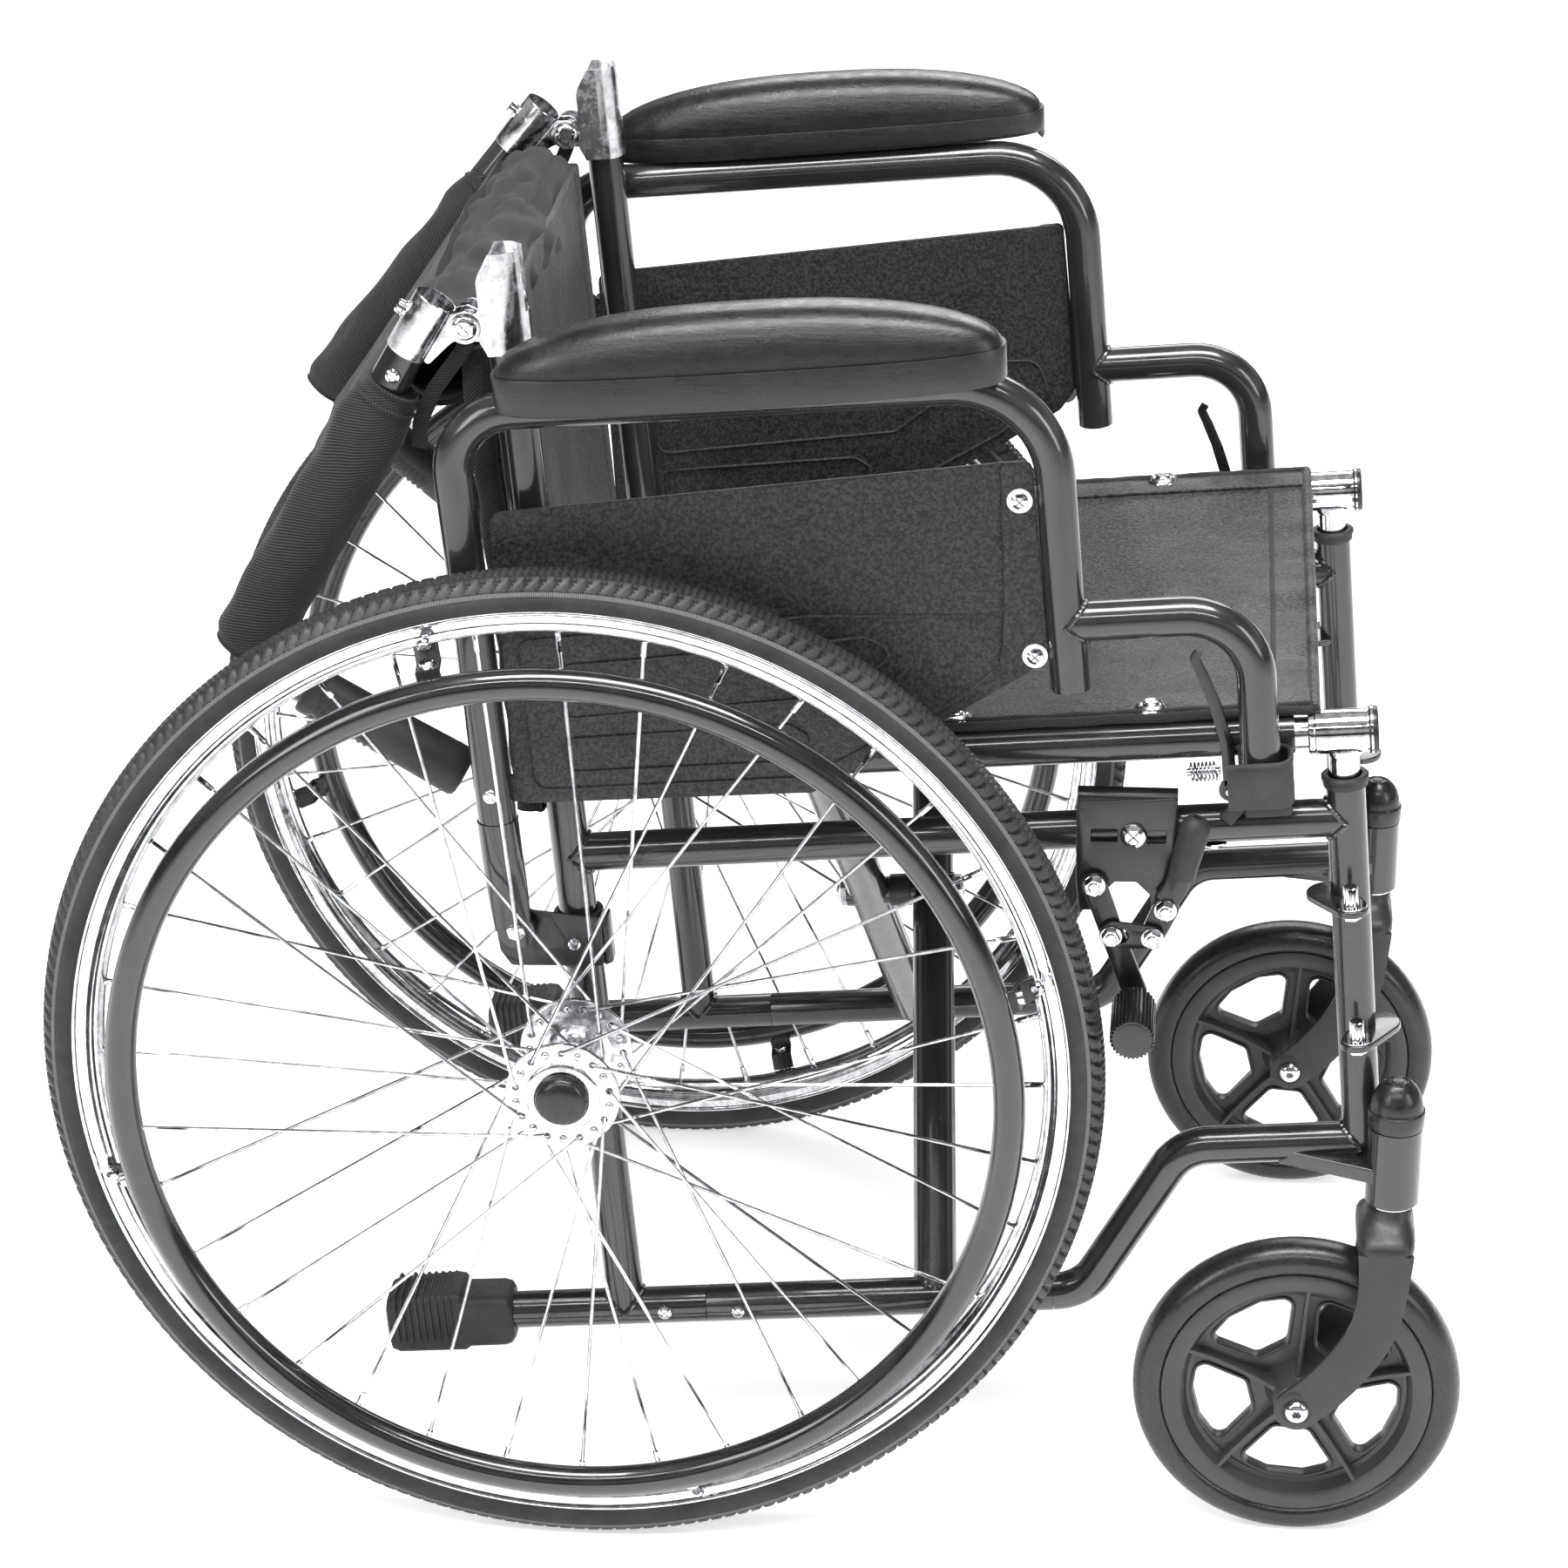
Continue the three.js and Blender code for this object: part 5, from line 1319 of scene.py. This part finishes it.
def settle_sheet(name, part, body, node):
    """A sheet across the chair, hung from one body, with a mesh of its own."""
    made = settle(name, part, body, "m", [node], 50,
        lambda o: o)
    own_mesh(made[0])


def make_seat():
    depth, half = (62, 457), 197.5

    def place(s, t):
        u = depth[0] + (depth[1] - depth[0]) * s
        y = -half + 2 * half * t
        inner = max(0.0, 1 - (abs(y) / 172) ** 2)
        sag = -15 * inner ** 0.8 * (0.55 + 0.45 * sin(pi * min(1, s * 1.05)))
        folds = cloth_wave(u, y * 0.35, 34, 3.4, 3.1) * inner + cloth_wave(u * 0.5, y, 60, 3.0, 8.4) * inner
        edge = min(1.0, (depth[1] - u) / 40)
        front = (1 - edge) * (2.4 * sin(y / 15.0) + 1.5 * sin(y / 6.3 + 2)) * inner
        return at(u, y, 479.6 + sag + folds + front), LEAN_W

    part = sheet_part(90, 90, place, 2.2, COATED)
    hem = soften([(-14, -1.3), (14, -1.3), (14, 1.0), (-14, 1.0)], 0.9, 3)
    for way in (-1, 1):
        middle = [place(i / 60, (way * 183 + half) / (2 * half))[0] + LEAN_W * 1.8 for i in range(61)]
        sweep(part, middle, hem, COATED, up=ACROSS)
        for y, w, r, wave in ((198.2, 480.2, 2.7, 0.9), (194.4, 482.2, 2.0, 1.3)):
            path = [at(62 + 395 * i / 60, way * y, w + 0.35 * sin(i * wave)) for i in range(61)]
            sweep(part, path, circle(r, 12), PIPING)
        for u in (257, 367):
            lathe(part, [(0, 0), (9.8, 0), (9.4, 1.6), (6.6, 3.4), (5.4, 2.4), (0, 2.2)],
                at(u, way * 189, 482), LEAN_W, ZINC, 32)
            cross_screw(part, at(u, way * 189, 484), LEAN_W, 5.2, CHROME, 2.4)
    front = [place(1.0, k / 80)[0] + LEAN_U * 0.6 for k in range(81)]
    sweep(part, front, oval(3.4, 4.2, 12), COATED, up=LEAN_U)
    fold = [place(1.0 - 22 / 395, k / 80)[0] + LEAN_W * 1.1 for k in range(81)]
    sweep(part, fold, oval(1.6, 0.5, 8), PIPING, up=LEAN_U)
    settle_sheet("seat_cloth", part, "seat_post_right", "seat_sling")


def make_lower_back():
    low, high, half = 437, 714, 182

    def place(s, t):
        w = low + (high - low) * s
        y = -half + 2 * half * t
        inner = max(0.0, 1 - (abs(y) / 165) ** 2)
        belly = -7 * inner ** 0.7 * sin(pi * min(1, s * 0.9 + 0.1))
        folds = cloth_wave(w * 0.6, y, 46, 2.2, 1.7) * inner
        seam = -0.9 if 159 < abs(y) < 163 else 0.0
        return at(14.6 + belly + folds + seam, y, w), LEAN_U

    part = sheet_part(70, 110, place, 4.0, COATED)
    for way in (-1, 1):
        edge = [at(8 + 0.7 * sin(k * 0.8), way * (184 + 0.4 * sin(k)), low + (high - low) * k / 50)
            for k in range(51)]
        sweep(part, edge, oval(7.2, 4.2, 20), CLOTH, up=LEAN_U)
    bottom = [place(0, k / 60)[0] - LEAN_U * 1.0 for k in range(61)]
    sweep(part, bottom, circle(3.6, 12), CLOTH)
    settle_sheet("back_cloth_lower", part, "frame_right", "back_sling_lower")


def make_upper_back():
    half = 178
    right = BACK_FOLD["r"]
    lag = (BACK_FOLD["l"] - right) / 2

    def place(s, t):
        w = 768 + (956 - 768) * s
        y = -half + 2 * half * t
        inner = max(0.0, 1 - (abs(y) / 176) ** 2)
        folds = cloth_wave(w * 0.4, y, 52, 5.0, 5.2) * inner ** 0.5 + 4 * inner * sin(w / 17 + y / 90)
        hang = hung(right + lag * t)
        return hang(REAR_U + 3 + folds, y, w), hang(1, 0, 0) - hang(0, 0, 0)

    part = sheet_part(50, 80, place, 5.0, CLOTH)
    settle_sheet("back_cloth_upper", part, "back_upper_right", "back_sling_upper")


def make_cane_cloth(side):
    """The loop of the upper sheet that the cane slides into; the left one hangs flatter."""
    part = Part()
    y = -SIDE_Y
    hang = hung(BACK_FOLD[side])
    deep, wide = (20.5, 17.5) if side == "r" else (17, 15.5)
    rings = []
    for k in range(61):
        f = k / 60
        w = 788 + (CORNER_W - 2 - 788) * f
        swell = min(1.0, 0.76 + 1.6 * f, 0.8 + 5 * (1 - f))
        ring = []
        for i in range(48):
            t = 2 * pi * i / 48
            a = deep * swell * cos(t) - 3.0
            b = wide * swell * sin(t)
            crease = 1.2 * noise.noise(Vector((w / 22, cos(t) * 1.4, sin(t) * 1.4)))
            crease += 0.9 * sin(w / 9 + 2 * sin(t)) * max(0, cos(t + 0.6))
            ring.append(hang(REAR_U + a + crease, y + b + crease * 0.6, w))
        rings.append(ring)
    part.skin(rings, CLOTH)
    for index in (0, 3, 60):
        sweep(part, rings[index], circle(1.1, 8), CLOTH, closed=True)
    settle("back_cloth_sleeve", part, "back_upper_{}", side, [], 50,
        lambda o: o)


def make_roll():
    """The slack between the two sheets, rolled behind the top of the lower one, and a strap at each end."""
    half, turns = 180, 1.45
    centre_u, centre_w = -12, 703
    part = Part()
    rings = []
    steps = 64
    for k in range(91):
        y = -half + 2 * half * k / 90
        inner = max(0.0, 1 - (abs(y) / 178) ** 6)
        outer, inside = [], []
        for i in range(steps + 1):
            f = i / steps
            angle = -0.35 + 2 * pi * turns * f
            r = 25.5 - 7.5 * f + inner * (1.6 * sin(2.2 * angle + y / 34) + cloth_wave(y, 60 * angle, 26, 6.5,
                9.5))
            r += inner * 2.0 * abs(sin(y / 41 + 1.5 * angle)) ** 6
            for seam in (0.95, 1.75):
                r -= 2.6 * exp(-((angle - seam) / 0.09) ** 2)
            c, s = cos(angle), sin(angle)
            outer.append(at(centre_u + (r + 1.6) * c, y, centre_w + (r + 1.6) * s))
            inside.append(at(centre_u + (r - 1.6) * c, y, centre_w + (r - 1.6) * s))
        rings.append(outer + list(reversed(inside)))
    part.skin(rings, CLOTH)
    settle_sheet("back_cloth_roll", part, "frame_right", "back_sling_lower")
    part = Part()
    path = [at(9, -197, 724), at(5, -196, 716), at(-14, -194, 694), at(-24, -192, 676), at(-27, -190, 660)]
    sweep(part, rounded(path, [10, 20, 20], 5), oblong(4.4, 0.8, 0.6, 2), CLOTH, up=LEAN_U)
    settle("back_strap", part, "frame_{}", replaces=[], form=lambda o: o)


make_tyre()
make_wheel()
make_handrim()
make_axle()
make_caster_tyre()
make_caster_wheel()
make_fork()
make_caster_axle()
make_stem_cap()
make_side_frame()
make_tipping_foot()
make_lower_hinge()
for side in "rl":
    make_upper_hinge(side)
    make_upper_cane(side)
    make_brace(side)
make_brace_bolt()
make_seat_post()
make_arm_bracket()
make_arm_frame()
make_arm_pad()
make_side_panel()
make_arm_cup()
make_latch()
make_brake_plate()
make_brake_arm()
make_brake_link()
make_brake_lever()
make_seat()
make_lower_back()
make_upper_back()
for side in "rl":
    make_cane_cloth(side)
make_roll()

# ------------------------------------------------------------------ floor, light and camera
floor_mesh = bpy.data.meshes.new("floor")
reach = 12.0
floor_mesh.from_pydata([(-reach, -reach, 0), (reach, -reach, 0), (reach, reach, 0), (-reach, reach, 0)], [],
    [(0, 1, 2, 3)])
floor = bpy.data.objects.new("floor", floor_mesh)
bpy.context.collection.objects.link(floor)
ground = Look("floor_paper", (0.93, 0.93, 0.93), 0.9, Emission_Color=(1, 1, 1, 1), Emission_Strength=0.55)
ground.tint(ground.noise(2), (0.92, 0.92, 0.92), (0.94, 0.94, 0.94))
floor_mesh.materials.append(ground.made)

world = bpy.data.worlds.new("studio")
bpy.context.scene.world = world
world.use_nodes = True
tree = world.node_tree
background = tree.nodes["Background"]
place = tree.nodes.new("ShaderNodeTexCoord")
split = tree.nodes.new("ShaderNodeSeparateXYZ")
ramp = tree.nodes.new("ShaderNodeValToRGB")
stops = [(0.0, 0.9), (0.48, 0.9), (0.5, 0.05), (0.57, 0.1), (0.62, 1.0), (0.7, 0.9), (0.76, 0.12),
    (0.86, 0.2), (0.92, 1.0), (1.0, 1.0)]
ramp.color_ramp.elements[0].position = stops[0][0]
ramp.color_ramp.elements[1].position = stops[-1][0]
for position, _ in stops[1:-1]:
    ramp.color_ramp.elements.new(position)
for element, (_, value) in zip(ramp.color_ramp.elements, stops):
    element.color = (value, value, value, 1)
shift = tree.nodes.new("ShaderNodeMath")
shift.operation = "MULTIPLY_ADD"
shift.inputs[1].default_value = 0.5
shift.inputs[2].default_value = 0.5
tree.links.new(place.outputs["Generated"], split.inputs["Vector"])
tree.links.new(split.outputs["Z"], shift.inputs[0])
tree.links.new(shift.outputs[0], ramp.inputs["Fac"])
tree.links.new(ramp.outputs["Color"], background.inputs["Color"])
background.inputs["Strength"].default_value = 0.5


def softbox(name, location, target, size, power):
    light = bpy.data.lights.new(name, "AREA")
    light.shape = "RECTANGLE"
    light.size, light.size_y = size
    light.energy = power
    thing = bpy.data.objects.new(name, light)
    thing.location = location
    thing.rotation_euler = (Vector(target) - Vector(location)).to_track_quat("-Z", "Y").to_euler()
    bpy.context.collection.objects.link(thing)


softbox("overhead", (0.1, -0.6, 3.0), (0, 0, 0.4), (2.4, 0.8), 105)
softbox("front_left", (-2.2, -2.4, 1.9), (0, 0, 0.4), (0.9, 1.8), 34)
softbox("front_right", (2.8, -1.6, 1.6), (0.1, 0, 0.3), (0.7, 1.8), 26)
softbox("back", (0.4, 2.8, 2.2), (0, 0, 0.4), (2.4, 1.4), 44)
softbox("strip", (0.0, -2.0, 2.3), (0, 0, 0.4), (2.6, 0.16), 26)

camera_data = bpy.data.cameras.new("camera")
camera = bpy.data.objects.new("camera", camera_data)
bpy.context.collection.objects.link(camera)
bpy.context.scene.camera = camera
camera_data.lens = 102.1
camera_data.sensor_width = 36
camera_data.shift_x = -0.0306
camera_data.shift_y = 0.0037
camera_data.clip_end = 100
azimuth, elevation, roll, distance = radians(4.91), radians(23.66), radians(-0.08), 2.730
aim = Vector((0.128 - ORIGIN_X * MM, 0, 0.373))
back = Vector((sin(azimuth) * cos(elevation), -cos(azimuth) * cos(elevation), sin(elevation)))
camera.location = aim + back * distance
turn = (-back).to_track_quat("-Z", "Y").to_matrix() @ Matrix.Rotation(roll, 3, "Z")
camera.rotation_euler = turn.to_euler()
bpy.context.scene.view_settings.view_transform = "Standard"
